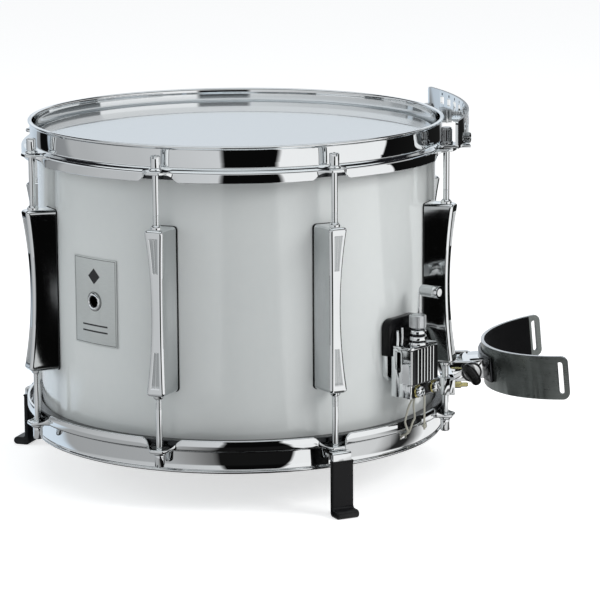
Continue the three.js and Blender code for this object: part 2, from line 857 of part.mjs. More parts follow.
function carriageSolid() {
  const back = boxSplit + fitGap;
  const jawTop = clampTop + ringGap;
  const front = extruded(fluteOutline(back), jawTop, boxTop - boxLid - fitGap);
  const jaw = box(back, clampBack - fitGap, -boxHalfWidth, boxHalfWidth, boxBottom, jawTop + fitGap);
  const slots = sideSlots(slotDepth + 2 * fitGap);
  const bore = moved(rod(knobShaftRadius + ringGap, knobBottom - knobShaftReach - carriageTravel,
    boxTop, rodSides), knobAxis, 0, 0);
  const screwBores = clampScrewPlaces().map((y) => rodAlongX(clampScrewRadius + fitGap,
    clampFront - clampScrewReach - fitGap, clampBack, y, clampMiddle, rodSides));
  return cut(join(front, jaw), ...slots, bore, ...screwBores);
}

function knobSolid() {
  const grip = extruded(knurledShape(knobRadius, knobTeeth, knobToothDepth), knobBottom,
    knobBottom + knobHeight);
  const shaft = rod(knobShaftRadius, knobBottom - knobShaftReach, knobBottom + knobHeight / 2, rodSides);
  return moved(join(grip, shaft), knobAxis, 0, 0);
}

function clampSolid() {
  const plate = extruded(roundedShape(clampBack, clampFront, -clampHalfWidth, clampHalfWidth,
    [0, boxCorner / 2, boxCorner / 2, 0]), boxBottom, clampTop, 2);
  return cut(plate, ...clampScrewPlaces().map((y) => rodAlongX(clampScrewRadius + fitGap,
    clampBack - cutOverrun, clampFront + cutOverrun, y, clampMiddle, rodSides)));
}

function clampScrewSolid(y) {
  const seat = clampFront + fitGap;
  const headBack = seat + clampWasherThickness;
  const top = headBack + clampHeadHeight;
  const body = moved(turned([
    [0, clampFront - clampScrewReach], [clampScrewRadius, clampFront - clampScrewReach],
    [clampScrewRadius, seat], [clampWasherRadius, seat], [clampWasherRadius, headBack],
    [clampHeadRadius, headBack], [clampHeadRadius, top], [0, top],
  ], rodSides + 2).rotate([0, 90, 0]), 0, y, clampMiddle);
  return cut(body, box(top - clampSlotDepth, top + cutOverrun, y - clampHeadRadius - cutOverrun,
    y + clampHeadRadius + cutOverrun, clampMiddle - clampSlotWidth / 2, clampMiddle + clampSlotWidth / 2));
}

function leverSolid() {
  const hubBack = baseFront + 2 * fitGap;
  const hubFront = hubBack + leverHubLength;
  const stemX = hubFront - leverRodRadius - fitGap;
  const hub = rodAlongX(leverHubRadius, hubBack, hubFront, leverPivotSide, leverPivotZ, rodSides * 2);
  const pin = rodAlongX(leverPinRadius, hubBack - leverPinLength, hubFront - leverHubLength / 2,
    leverPivotSide, leverPivotZ, rodSides);
  const gripZ = leverPivotZ + leverLength;
  const stem = moved(rod(leverRodRadius, leverPivotZ, gripZ, rodSides), stemX, leverSide, 0);
  const gripBack = stemX - leverRodRadius - fitGap;
  const grip = moved(extruded(knurledShape(leverGripRadius, nutTeeth, nutToothDepth), gripBack,
    gripBack + leverGripLength).rotate([0, 90, 0]), 0, leverSide, gripZ);
  return join(hub, pin, stem, grip);
}

// Cords. Each runs down from its clamp, spreads, meets again in the gate, passes the hoop and
// goes round behind the snares' end plate, and back the same way.
function cordLeg(side, startX) {
  const gateTop = snareLevel + skirtDrop;
  const flangeFace = snareLevel + flangeDrop;
  const near = side * cordLegSpacing;
  const bend = cordRadius * 3;
  return [
    [startX, near, boxBottom - fitGap],
    [startX - cordRadius, near, boxBottom - cordDrop],
    [skirtOuterRadius + cordSlack, (side * cordSpread) / 2, (boxBottom + gateTop) / 2],
    [skirtOuterRadius - cordSlack, side * cordSpread, gateTop],
    [skirtOuterRadius - cordSlack - cordRadius, (side * cordSpread * 3) / 4, gateTop - cordDrop],
    [gateFloorRadius + cordRadius + bend / 2, near, flangeFace],
    [gateFloorRadius + cordSlack, near, flangeFace - bend],
    [bandOuterRadius - cordRadius, near, flangeFace - 2 * bend],
    [bandInnerRadius - bend - cordSlack, near, underHead + cordSlack],
    [bandInnerRadius - cordSpread - 2 * bend, near, underHead],
    [snareHalfLength + cordSpread + cordRadius, near, underHead],
  ];
}

function cordSolid(startX) {
  const left = cordLeg(-1, startX);
  const right = cordLeg(1, startX).reverse();
  const loop = [snareHalfLength + fitGap + cordRadius, 0, underHead];
  const points = [...left, loop, ...right].map((point) => new THREE.Vector3(...point));
  return tube(new THREE.CatmullRomCurve3(points, false, 'centripetal'), cordRadius, cordSteps);
}

function tailSolid() {
  const [x, y] = [clampFront - tailInset, tailSide];
  const [top, end] = [boxBottom - fitGap, boxBottom - fitGap - tailLength];
  const path = new THREE.LineCurve3(new THREE.Vector3(x, y, top), new THREE.Vector3(x, y, end));
  const knot = moved(turned([
    [0, 0], [tailKnotRadius, tailKnotHeight / 3],
    [tailKnotRadius, (tailKnotHeight * 2) / 3], [0, tailKnotHeight],
  ], cordSides), x, y, end + tailKnotHeight / 2);
  return join(tube(path, cordRadius, tailSteps), knot);
}

function snareSolid() {
  const top = snareLevel - snareDrop;
  const plates = [-1, 1].map((side) => {
    const [x0, x1] = [side * snareHalfLength, side * (snareHalfLength - snarePlateWidth)];
    return box(Math.min(x0, x1), Math.max(x0, x1), -snareHalfWidth, snareHalfWidth,
      top - snarePlateThickness, top);
  });
  const pitch = (2 * snareHalfWidth - 4 * snareStrandRadius) / (snareStrands - 1);
  const strands = [];
  for (let i = 0; i < snareStrands; i += 1) {
    const y = (i - (snareStrands - 1) / 2) * pitch;
    strands.push(rodAlongX(snareStrandRadius, snarePlateWidth / 2 - snareHalfLength,
      snareHalfLength - snarePlateWidth / 2, y, top - snarePlateThickness / 2, 4));
  }
  return join(...plates, ...strands);
}

// Butt end: a block on the shell, in one piece with its clamp plate and the plate's two screws
function buttBlockSolid() {
  const corners = [buttCorner, buttCorner, buttCorner, buttCorner];
  const outline = roundedShape(-buttHalfWidth, buttHalfWidth, boxBottom, boxBottom + buttHeight, corners);
  const block = cut(extrudedAlongX(outline, shellInner, buttFront), shellClearance());
  const front = buttFront + fitGap + buttClampThickness;
  const plate = box(buttFront - fitGap, front, -buttHalfWidth, buttHalfWidth,
    buttMiddle - buttClampHeight / 2, buttMiddle + buttClampHeight / 2);
  const heads = [-buttHalfWidth / 2, buttHalfWidth / 2].map((y) => rodAlongX(clampHeadRadius,
    buttFront, front + clampHeadHeight / 2, y, buttMiddle, rodSides));
  return join(block, plate, ...heads);
}

// Carrier plate: a gently curved strip with windows, on two brackets held under knurled nuts
function throughCarrier(tool, y) {
  const centre = carrierApex - carrierCurve;
  const angle = (Math.asin(y / carrierCurve) * 180) / Math.PI;
  return moved(moved(tool, carrierCurve, 0, 0).rotate([0, 0, angle]), centre, 0, 0);
}

function carrierPlateSolid() {
  const plate = arcBand(carrierApex - carrierCurve, carrierCurve - carrierThickness, carrierCurve,
    Math.asin(carrierHalfSpan / carrierCurve), carrierSteps, carrierTop - carrierHeight, carrierTop);
  const [back, front] = [-carrierThickness - cutOverrun, cutOverrun];
  const middle = (windowCount - 1) / 2;
  const tools = [];
  for (let i = 0; i < windowCount; i += 1) {
    const y = (i - middle) * windowSpacing;
    tools.push(throughCarrier(box(back, front, -windowWidth / 2, windowWidth / 2,
      windowLift - windowHeight / 2, windowLift + windowHeight / 2), y));
    tools.push(throughCarrier(rodAlongX(pinholeRadius, back, front, 0, windowLift + pinholeOffset,
      pinholeSides), y));
  }
  for (const side of [-1, 1]) {
    tools.push(throughCarrier(rodAlongX(carrierBoltRadius + fitGap, back, front, 0,
      earSeat + carrierBoltRise, rodSides), side * rodY));
  }
  return cut(plate, ...tools);
}

// The plate is one strip, and its solid is in two halves, each with half of the windows. They part at
// the land between the two middle windows.
function carrierHalfSolid(side) {
  const ends = [(side * fitGap) / 2, side * (carrierHalfSpan + cutOverrun)].sort((a, b) => a - b);
  return carrierPlateSolid().intersect(box(0, carrierApex + cutOverrun, ends[0], ends[1],
    carrierTop - carrierHeight - cutOverrun, carrierTop + cutOverrun));
}

function carrierBracketSolid(y) {
  const inner = -carrierThickness - fitGap;
  const upright = throughCarrier(box(inner - uprightThickness, inner, -tabWidth / 2, tabWidth / 2,
    earSeat, earSeat + uprightRise), y);
  const tab = box(rodX - tabHeel, carrierApex, y - tabWidth / 2, y + tabWidth / 2,
    earSeat, tabTop);
  const behind = throughCarrier(box(-carrierApex, inner - uprightThickness / 2, -carrierApex, carrierApex,
    earSeat - cutOverrun, tabTop + cutOverrun), y);
  const bolt = throughCarrier(join(
    rodAlongX(carrierBoltRadius, inner - uprightThickness / 2, fitGap + carrierBoltHeadHeight / 2, 0,
      earSeat + carrierBoltRise, rodSides),
    rodAlongX(carrierBoltHeadRadius, fitGap, fitGap + carrierBoltHeadHeight, 0,
      earSeat + carrierBoltRise, rodSides + 2),
  ), y);
  const hole = moved(rod(rodHoleRadius, earSeat - cutOverrun, tabTop + cutOverrun, rodSides), rodX, y, 0);
  return cut(join(tab.intersect(behind), upright, bolt), hole);
}

function nutSolid() {
  const shape = knurledShape(nutRadius, nutTeeth, nutToothDepth);
  const body = extruded(shape, tabTop + fitGap, nutTop);
  return moved(cut(body, rod(rodHoleRadius, tabTop - cutOverrun, nutTop + cutOverrun, rodSides)),
    rodCircle, 0, 0);
}

// Leg rest bracket: a bar across two lower rods, with a fork for the leg rest's tongue
function restBracketSolid() {
  const [z0, z1] = [restPivotZ - restBarHalfHeight, restPivotZ + restBarHalfHeight];
  const bar = box(restBarFront - restBarThickness, restBarFront, -restBarHalfWidth, restBarHalfWidth,
    z0, z1);
  const pieces = [];
  const holes = [];
  for (const side of [-1, 1]) {
    const y = side * rodY;
    pieces.push(box(restBarFront - restBossDepth, restBarFront, y - restBossHalfWidth,
      y + restBossHalfWidth, z0, z1));
    holes.push(moved(rod(rodHoleRadius, z0 - cutOverrun, z1 + cutOverrun, rodSides), rodX, y, 0));
    holes.push(rodAlongX(setScrewRadius + fitGap, rodX, restBarFront + cutOverrun, y, restPivotZ,
      rodSides));
    const [y0, y1] = side > 0 ? [restForkInner, restForkOuter] : [-restForkOuter, -restForkInner];
    pieces.push(box(restBarFront - restBarThickness / 2, restPivotX, y0, y1,
      restPivotZ - restEyeRadius, restPivotZ + restEyeRadius));
    pieces.push(rodAlongY(restEyeRadius, y0, y1, restPivotX, restPivotZ, rodSides * 2));
  }
  const pinHole = rodAlongY(restPinRadius + fitGap, -restForkOuter - cutOverrun,
    restForkOuter + cutOverrun, restPivotX, restPivotZ, rodSides + 2);
  return cut(join(bar, ...pieces), ...holes, pinHole);
}

// The block that carries the leg rest, drawn about the pivot before the tilt: an eye between the
// fork's cheeks, and a saddle shaped to the leg rest's back
function restBlockSolid() {
  const half = restForkInner - ringGap;
  const seat = restRadius + fitGap;
  const eye = rodAlongY(restTongueRadius, -half, half, 0, 0, rodSides * 2);
  const neck = box(0, saddleBack + saddleThickness / 2, -half, half,
    -restNeckHalfHeight, restNeckHalfHeight);
  const saddle = bandTowardsDrum(seat, seat + saddleThickness, Math.asin(saddleHalfWidth / seat),
    saddleSteps, -saddleHalfHeight, saddleHalfHeight);
  return cut(join(eye, neck, saddle), rodAlongY(restPinRadius + fitGap, -half - cutOverrun,
    half + cutOverrun, 0, 0, rodSides + 2));
}

// A tool drawn in y and z that passes radially through the strip at an angle from its middle
function throughStrip(shape, angle) {
  const tool = extrudedAlongX(shape, -restRadius - cutOverrun, -restRadius + restThickness + cutOverrun, 3);
  return moved(tool.rotate([0, 0, angle]), restCentre, 0, 0);
}

function cornerShape(side, level) {
  const edge = level > 0 ? restTopEdge : restBottomEdge;
  const [cy, cz] = [-side * restCorner, edge - level * restCorner];
  const points = [[side * cutOverrun, cz], [0, cz]];
  for (let i = 1; i <= restCornerSteps; i += 1) {
    const angle = (i * Math.PI) / 2 / restCornerSteps;
    points.push([cy + side * restCorner * Math.cos(angle), cz + level * restCorner * Math.sin(angle)]);
  }
  points.push([cy, edge + level * cutOverrun], [side * cutOverrun, edge + level * cutOverrun]);
  return polygonShape(points);
}

// A curved band whose middle is nearest the drum
function bandTowardsDrum(inner, outer, halfAngle, steps, z0, z1) {
  const points = [
    ...arcPoints(0, outer, halfAngle, steps), ...arcPoints(0, inner, halfAngle, steps).reverse(),
  ].map(([x, y]) => [restCentre - x, y]);
  return extruded(polygonShape(points), z0, z1);
}

function restStripSolid() {
  const strip = bandTowardsDrum(restRadius - restThickness, restRadius, radians(restHalfAngle), restSteps,
    restBottomEdge, restTopEdge);
  const middle = (restTopEdge + restBottomEdge) / 2;
  const slotAngle = radians(restHalfAngle) - restSlotInset / restRadius;
  const corners = [restSlotRounding, restSlotRounding, restSlotRounding, restSlotRounding];
  const slotShape = roundedShape(-restSlotWidth / 2, restSlotWidth / 2, middle - restSlotLength / 2,
    middle + restSlotLength / 2, corners);
  const tools = [];
  for (const side of [-1, 1]) {
    tools.push(throughStrip(slotShape, (-side * slotAngle * 180) / Math.PI));
    for (const level of [-1, 1]) {
      tools.push(throughStrip(cornerShape(side, level), -side * restHalfAngle));
    }
  }
  return cut(strip, ...tools);
}

function restPadSolid() {
  const outer = restRadius - restThickness - fitGap;
  const half = radians(restHalfAngle) - padInset / restRadius;
  return bandTowardsDrum(outer - padThickness, outer, half, restSteps, restBottomEdge + padRim,
    restTopEdge - padRim);
}

function capsule(from, to, radius) {
  const axis = new THREE.Vector3(...to).sub(new THREE.Vector3(...from));
  const geometry = new THREE.CapsuleGeometry(radius, axis.length(), 3, rodSides + 2);
  const turn = new THREE.Quaternion().setFromUnitVectors(new THREE.Vector3(0, 1, 0), axis.clone().normalize());
  geometry.applyQuaternion(turn);
  geometry.translate(from[0] + axis.x / 2, from[1] + axis.y / 2, from[2] + axis.z / 2);
  return asSolid(geometry);
}

function restLeverSolid() {
  const front = -restForkOuter - fitGap;
  const hubFront = front - restHubHeight;
  const pin = rodAlongY(restPinRadius, front - restHubHeight / 2, -front + restNutHeight / 2, 0, 0,
    rodSides + 2);
  const hub = rodAlongY(restHubRadius, hubFront, front, 0, 0, rodSides * 2);
  const nut = rodAlongY(restNutRadius, -front, -front + restNutHeight, 0, 0, 6);
  const shift = ([x, y, z]) => [x, y + hubFront, z];
  const handle = capsule(shift(restHandleStart), shift(restHandleEnd), restHandleRadius);
  const stem = rodAlongY(restPinRadius, hubFront + restHandleStart[1], hubFront + restHubHeight / 2, 0, 0,
    rodSides + 2);
  return moved(join(pin, hub, nut, handle, stem), restPivotX, 0, restPivotZ);
}

function setScrewSolid(y) {
  const seat = restBarFront + fitGap;
  const headFront = seat + setScrewHeadLength;
  return join(
    rodAlongX(setScrewRadius, rodX + rodRadius + fitGap, seat + setScrewHeadLength / 2, y, restPivotZ,
      rodSides),
    rodAlongX(setScrewHeadRadius, seat, headFront, y, restPivotZ, rodSides),
    rodAlongX(setScrewRadius, headFront - setScrewHeadLength / 2, headFront + setScrewTipLength, y,
      restPivotZ, rodSides),
  );
}

// Feet, in their own station
function footSolid() {
  const strapOuter = footStrapInner + footStrapThickness;
  const [heel, under] = [rodCircle - footTabHeel, footFace - footStrapThickness];
  const strapEnd = footFace - footHeight + toeThickness / 2;
  const strap = extrudedAlongY(polygonShape([
    [heel, footFace], [strapOuter - footStrapRounding, footFace],
    [strapOuter, footFace - footStrapRounding],
    [strapOuter, strapEnd], [footStrapInner, strapEnd], [footStrapInner, under], [heel, under],
  ]), -footStrapHalfWidth, footStrapHalfWidth);
  const boot = extrudedAlongY(bootOutline(), -bootHalfWidth, bootHalfWidth, 3);
  const hole = moved(rod(rodHoleRadius, under - cutOverrun, footFace + cutOverrun, rodSides),
    rodCircle, 0, 0);
  return cut(join(strap, boot), hole);
}

function bootOutline() {
  const inner = footStrapInner - bootWall;
  const outer = footStrapInner + footStrapThickness + bootWall;
  const bottom = footFace - footHeight;
  const round = toeThickness / 2;
  const toe = footStrapInner + toeLength;
  const shape = new THREE.Shape();
  shape.moveTo(inner, footFace - bootTop);
  shape.lineTo(inner, bottom + round);
  shape.absarc(inner + round, bottom + round, round, Math.PI, Math.PI * 1.5);
  shape.lineTo(toe - round, bottom);
  shape.absarc(toe - round, bottom + round, round, -Math.PI / 2, Math.PI / 2);
  shape.lineTo(outer, bottom + toeThickness);
  shape.lineTo(outer, footFace - bootTop);
  return shape;
}

// Assembly
function addShellAndHeads() {
  place('shell', shellSolid(), lacquer);
  place('batter_head', headSolid(), film);
  place('batter_hoop', hoopSolid(), chrome);
  place('snare_head', snareSide(headSolid()), film);
  place('snare_hoop', snareHoopSolid(), chrome);
}

function addTension() {
  for (let i = 0; i < lugCount; i += 1) {
    const here = station(lugAngle(i));
    const onCarrier = Math.abs(lugAngle(i)) < 360 / lugCount;
    place(`lug_${i + 1}`, lugSolid(), chrome, here);
    place(`batter_rod_${i + 1}`, onCarrier ? studSolid() : rodSolid(earSeat), chrome, here);
    const lower = rodSolid(footLugs.includes(i) ? footSeat() : earSeat);
    place(`snare_rod_${i + 1}`, snareSide(lower), chrome, here);
    if (footLugs.includes(i)) place(`foot_${footLugs.indexOf(i) + 1}`, footSolid(), rubber, here);
    if (onCarrier) place(`carrier_nut_${lugAngle(i) < 0 ? 'front' : 'rear'}`, nutSolid(), chrome, here);
  }
}

function addBadge() {
  const here = station(badgeAngle);
  place('badge', badgeSolid(), badgeMetal, here);
  place('vent_grommet', ventSolid(), chrome, here);
}

function addStrainer() {
  const here = station(strainerAngle);
  place('strainer_base', strainerBaseSolid(), blackPlastic, here);
  place('strainer_housing', housingSolid(), chrome, here);
  place('strainer_carriage', carriageSolid(), chrome, here);
  place('strainer_knob', knobSolid(), chrome, here);
  place('strainer_lever', leverSolid(), chrome, here);
  place('cord_clamp', clampSolid(), chrome, here);
  clampScrewPlaces().forEach((y, index) => {
    place(`cord_clamp_screw_${index + 1}`, clampScrewSolid(y), brass, here);
  });
  place('strainer_cord', cordSolid(boxFront - cordInset), cordFibre, here);
  place('cord_tail', tailSolid(), cordFibre, here);
  place('snare_wires', snareSolid(), chrome, here);
}

function addButt() {
  const here = station(buttAngle);
  place('butt_block', buttBlockSolid(), chrome, here);
  place('butt_cord', cordSolid(buttFront - buttCordInset), cordFibre, here);
}

function addCarrier() {
  place('carrier_plate_front', carrierHalfSolid(-1), chrome);
  place('carrier_plate_rear', carrierHalfSolid(1), chrome);
  place('carrier_bracket_front', carrierBracketSolid(-rodY), chrome);
  place('carrier_bracket_rear', carrierBracketSolid(rodY), chrome);
}

function addLegRest() {
  const tilted = new THREE.Group();
  tilted.position.set(restPivotX, 0, restPivotZ);
  tilted.rotation.y = radians(-restTilt);
  drum.add(tilted);
  place('leg_rest_bracket', restBracketSolid(), chrome);
  place('leg_rest_lever', restLeverSolid(), blackPlastic);
  place('leg_rest_screw_front', setScrewSolid(-rodY), brass);
  place('leg_rest_screw_rear', setScrewSolid(rodY), brass);
  place('leg_rest_block', restBlockSolid(), blackPlastic, tilted);
  place('leg_rest', restStripSolid(), satinGrey, tilted);
  place('leg_rest_pad', restPadSolid(), rubber, tilted);
}

addShellAndHeads();
addTension();
addBadge();
addStrainer();
addButt();
addCarrier();
addLegRest();

export default drum;
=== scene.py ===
# Marching snare drum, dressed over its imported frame. Shapes are drawn in millimetres, most of them
# in a station of their own: x outward from the drum's axis, y along the shell, z up. Each finished
# piece is in metres, with its place in its mesh.
import math

import bmesh
import bpy
from mathutils import Matrix, Vector


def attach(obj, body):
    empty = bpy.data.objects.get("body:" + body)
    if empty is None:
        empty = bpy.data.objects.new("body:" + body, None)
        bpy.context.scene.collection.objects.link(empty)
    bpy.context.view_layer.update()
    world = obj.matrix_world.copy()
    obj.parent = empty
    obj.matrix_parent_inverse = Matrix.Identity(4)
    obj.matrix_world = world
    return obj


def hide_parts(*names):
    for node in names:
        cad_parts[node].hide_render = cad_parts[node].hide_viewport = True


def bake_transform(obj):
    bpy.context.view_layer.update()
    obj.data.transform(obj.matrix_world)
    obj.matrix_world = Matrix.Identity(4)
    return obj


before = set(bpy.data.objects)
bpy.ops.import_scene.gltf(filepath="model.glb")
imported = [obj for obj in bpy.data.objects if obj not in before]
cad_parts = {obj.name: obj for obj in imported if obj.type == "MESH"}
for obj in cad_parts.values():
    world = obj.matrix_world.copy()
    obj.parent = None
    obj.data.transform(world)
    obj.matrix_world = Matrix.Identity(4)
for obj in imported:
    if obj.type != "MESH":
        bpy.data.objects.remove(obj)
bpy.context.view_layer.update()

# Main sizes, as in the frame
SHELL = 177.5
WALL = 6.0
DEPTH = 257.0
BEARING_GAP = 2.6
SEAT_RADIUS = 177.9
ROD_CIRCLE = 195.0
ROD_HOLE = 3.2
LUG_ANGLES = [-157.5 + 45 * i for i in range(8)]
CARRIER_LUGS = (3, 4)
FOOT_LUGS = (2, 5, 7)
STRAINER_ANGLE = -41.0
BUTT_ANGLE = 139.0
BADGE_ANGLE = -135.8
VENT_HEIGHT = -129.5
VENT_RADIUS = 6.3
BAND_INNER = 181.3
BAND_OUTER = 183.6
SKIRT = 191.2
FLANGE = -7.7
FLANGE_UNDER = -10.0
SKIRT_END = -18.4
ROD_X = ROD_CIRCLE * math.cos(math.pi / 8)
ROD_Y = ROD_CIRCLE * math.sin(math.pi / 8)
BOX_BOTTOM = -215.0
BOX_TOP = -170.5
BOX_HALF = 20
NECK_X = 198.5
HINGE_HEIGHT = -157
GRIP_HEIGHT = -126
CLAMP_SCREW_Y = 12
CLAMP_SCREW_HEIGHT = -209.15
UNDER_HEAD = -258.6
CORD_RADIUS = 0.9
TAIL_TOP = Vector((204.5, 2.0, BOX_BOTTOM - 0.3))
TAIL_LENGTH = 31.0
CARRIER_CURVE = 325.0
CARRIER_CENTRE = 206.3 - CARRIER_CURVE
CARRIER_HALF = math.degrees(math.asin(114.02 / CARRIER_CURVE))
CARRIER_LOW, CARRIER_HIGH, CARRIER_THICK = -3.8, 20.2, 2.2
REST_PIVOT = Vector((209.497, 0, -220.85))
REST_TILT = -5.0
REST_RADIUS = 97.0
REST_THICK = 3
REST_CENTRE = 10.4 + REST_THICK + 0.3 + REST_RADIUS
REST_HALF = 70.5
REST_LOW, REST_HIGH = -18.5, 20.8
PIN_HOLE = 3.7
FOOT_FACE = -249.6
FLOOR = -305.3

MM = Matrix.Diagonal((0.001, 0.001, 0.001, 1))
HERE = Matrix.Identity(4)
ALONG_X = Matrix(((0, 0, 1, 0), (1, 0, 0, 0), (0, 1, 0, 0), (0, 0, 0, 1)))
ALONG_Y = Matrix(((1, 0, 0, 0), (0, 0, 1, 0), (0, 1, 0, 0), (0, 0, 0, 1)))
LOWER_SIDE = Matrix.Translation((0, 0, -DEPTH)) @ Matrix.Diagonal((1, 1, -1, 1))


def station(angle):
    return Matrix.Rotation(math.radians(angle), 4, "Z")


def at(x, y, z):
    return Matrix.Translation((x, y, z))


# Camera, as fitted to the photograph
def add_camera():
    axes = ((0.99811, -0.06123, -0.00539), (0.01772, 0.20278, 0.97906), (-0.05885, -0.97731, 0.20348))
    data = bpy.data.cameras.new("camera")
    data.sensor_width = 36
    data.lens = 36 * 2949.02 / 600
    data.clip_end = 50
    camera = bpy.data.objects.new("camera", data)
    camera.matrix_world = at(-0.1007, -2.6049, 0.3851) @ Matrix(axes).transposed().to_4x4()
    bpy.context.scene.collection.objects.link(camera)
    bpy.context.scene.camera = camera


add_camera()


# Node trees
def is_socket(value):
    return isinstance(value, bpy.types.NodeSocket)


def link(socket, target):
    socket.id_data.links.new(socket, target)


def node(tree, kind, inputs=None, **settings):
    made = tree.nodes.new(kind)
    for name, value in settings.items():
        setattr(made, name, value)
    for key, value in (inputs or {}).items():
        if is_socket(value):
            link(value, made.inputs[key])
        else:
            made.inputs[key].default_value = value
    return made


def with_node(kind, inputs, **settings):
    """A node in the tree of the first socket among its inputs."""
    tree = next(value.id_data for value in inputs.values() if is_socket(value))
    return node(tree, kind, inputs, **settings)


def calc(operation, *values, clamp=False):
    made = with_node("ShaderNodeMath", dict(enumerate(values)), operation=operation, use_clamp=clamp)
    return made.outputs[0]


def times(*values):
    return calc("MULTIPLY", *values)


def plus(*values):
    return calc("ADD", *values)


def minus(*values):
    return calc("SUBTRACT", *values)


def below(*values):
    return calc("LESS_THAN", *values)


def above(*values):
    return calc("GREATER_THAN", *values)


def span(value, low, high, to_low=0.0, to_high=1.0):
    return with_node("ShaderNodeMapRange", {
        "Value": value, "From Min": low, "From Max": high, "To Min": to_low, "To Max": to_high},
        clamp=True).outputs["Result"]


def mix_colour(factor, first, second, blend="MIX"):
    return with_node("ShaderNodeMix", {0: factor, 6: first, 7: second}, data_type="RGBA",
                     blend_type=blend).outputs[2]


def parts_of(vector):
    return with_node("ShaderNodeSeparateXYZ", {0: vector}).outputs


def vector_of(x=0.0, y=0.0, z=0.0):
    return with_node("ShaderNodeCombineXYZ", {0: x, 1: y, 2: z}).outputs[0]


def away_from_axis(x, y):
    return with_node("ShaderNodeVectorMath", {0: vector_of(x, y)}, operation="LENGTH").outputs["Value"]


def noise(vector, scale, detail=2.0, roughness=0.5, distortion=0.0):
    return with_node("ShaderNodeTexNoise", {
        "Vector": vector, "Scale": scale, "Detail": detail, "Roughness": roughness,
        "Distortion": distortion}).outputs["Fac"]


def bump(height, strength, distance):
    return with_node("ShaderNodeBump", {
        "Strength": strength, "Distance": distance, "Height": height}).outputs["Normal"]


def ramp(factor, stops):
    made = with_node("ShaderNodeValToRGB", {"Fac": factor})
    elements = made.color_ramp.elements
    while len(elements) < len(stops):
        elements.new(0.5)
    for element, (position, colour) in zip(elements, stops):
        element.position = position
        element.color = (*colour, 1)
    return made.outputs["Color"]


def group(name, kind, inputs, outputs):
    """A group's tree, what it is given and where it puts its results. Sockets are named by type."""
    tree = bpy.data.node_groups.new(name, kind)
    for label, socket, *value in inputs:
        made = tree.interface.new_socket(label, in_out="INPUT", socket_type="NodeSocket" + socket)
        if value:
            made.default_value = value[0]
    for label, socket in outputs:
        tree.interface.new_socket(label, in_out="OUTPUT", socket_type="NodeSocket" + socket)
    return tree, node(tree, "NodeGroupInput").outputs, node(tree, "NodeGroupOutput").inputs


def shared(tree, inputs):
    return with_node("ShaderNodeGroup", inputs, node_tree=tree).outputs


# Effects that several finishes share
def make_mottle():
    """A colour and a roughness that vary a little over the surface, in patches and in fine specks."""
    tree, given, put = group("mottle", "ShaderNodeTree", [
        ("Vector", "Vector"), ("Colour", "Color", (0.8, 0.8, 0.8, 1)), ("Shade", "Color", (0.6, 0.6, 0.6, 1)),
        ("Roughness", "Float", 0.3), ("Patch Scale", "Float", 20.0), ("Amount", "Float", 0.2),
        ("Roughness Amount", "Float", 0.1)], [("Colour", "Color"), ("Roughness", "Float"), ("Mask", "Float")])
    patches = noise(given["Vector"], given["Patch Scale"], 4.0, 0.6)
    fine = noise(given["Vector"], times(given["Patch Scale"], 14.0))
    mask = span(plus(times(patches, 0.7), times(fine, 0.3)), 0.35, 0.65)
    link(mix_colour(times(mask, given["Amount"]), given["Colour"], given["Shade"]), put["Colour"])
    swing = times(minus(mask, 0.5), given["Roughness Amount"])
    link(calc("ADD", given["Roughness"], swing, clamp=True), put["Roughness"])
    link(mask, put["Mask"])
    return tree


def make_grain():
    """A bump of fine grain, softer or sharper with its scale."""
    tree, given, put = group("grain", "ShaderNodeTree", [
        ("Vector", "Vector"), ("Scale", "Float", 800.0), ("Strength", "Float", 0.2),
        ("Distance", "Float", 0.0002)], [("Normal", "Vector")])
    fine = noise(given["Vector"], given["Scale"], 3.0)
    link(bump(fine, given["Strength"], given["Distance"]), put["Normal"])
    return tree


def make_rubbed():
    """A mask of fine scratches, stretched along one axis."""
    tree, given, put = group("rubbed", "ShaderNodeTree", [
        ("Vector", "Vector"), ("Stretch", "Vector", (1, 1, 1)), ("Scale", "Float", 300.0)],
        [("Mask", "Float")])
    stretched = with_node("ShaderNodeVectorMath", {0: given["Vector"], 1: given["Stretch"]},
                          operation="MULTIPLY").outputs[0]
    link(span(noise(stretched, given["Scale"], 5.0, 0.7), 0.3, 0.7), put["Mask"])
    return tree


MOTTLE = make_mottle()
GRAIN = make_grain()
RUBBED = make_rubbed()


# Finishes
def finish(name, constants=None):
    """A material with its shader, its texture places and its output."""
    material = bpy.data.materials.new(name)
    material.use_nodes = True
    tree = material.node_tree
    tree.nodes.clear()
    shader = node(tree, "ShaderNodeBsdfPrincipled", constants)
    output = node(tree, "ShaderNodeOutputMaterial", {"Surface": shader.outputs[0]})
    return material, shader, node(tree, "ShaderNodeTexCoord").outputs, output


def mottled(vector, colour, shade, roughness, patches, amount, swing):
    return shared(MOTTLE, {
        "Vector": vector, "Colour": (*colour, 1), "Shade": (*shade, 1), "Roughness": roughness,
        "Patch Scale": patches, "Amount": amount, "Roughness Amount": swing})


def varied(shader, *look):
    made = mottled(*look)
    link(made["Colour"], shader.inputs["Base Color"])
    link(made["Roughness"], shader.inputs["Roughness"])
    return made


def grained(shader, vector, scale, strength):
    grain = shared(GRAIN, {"Vector": vector, "Scale": scale, "Strength": strength})
    link(grain["Normal"], shader.inputs["Normal"])


def metal_finish(name, colour=(0.88, 0.9, 0.91), roughness=0.016, swing=0.016, amount=0.2, shade=None,
                 patches=35.0):
    material, shader, place, _ = finish(name, {"Metallic": 1})
    shade = shade or tuple(0.9 * part for part in colour)
    varied(shader, place["Object"], colour, shade, roughness, patches, amount, swing)
    return material


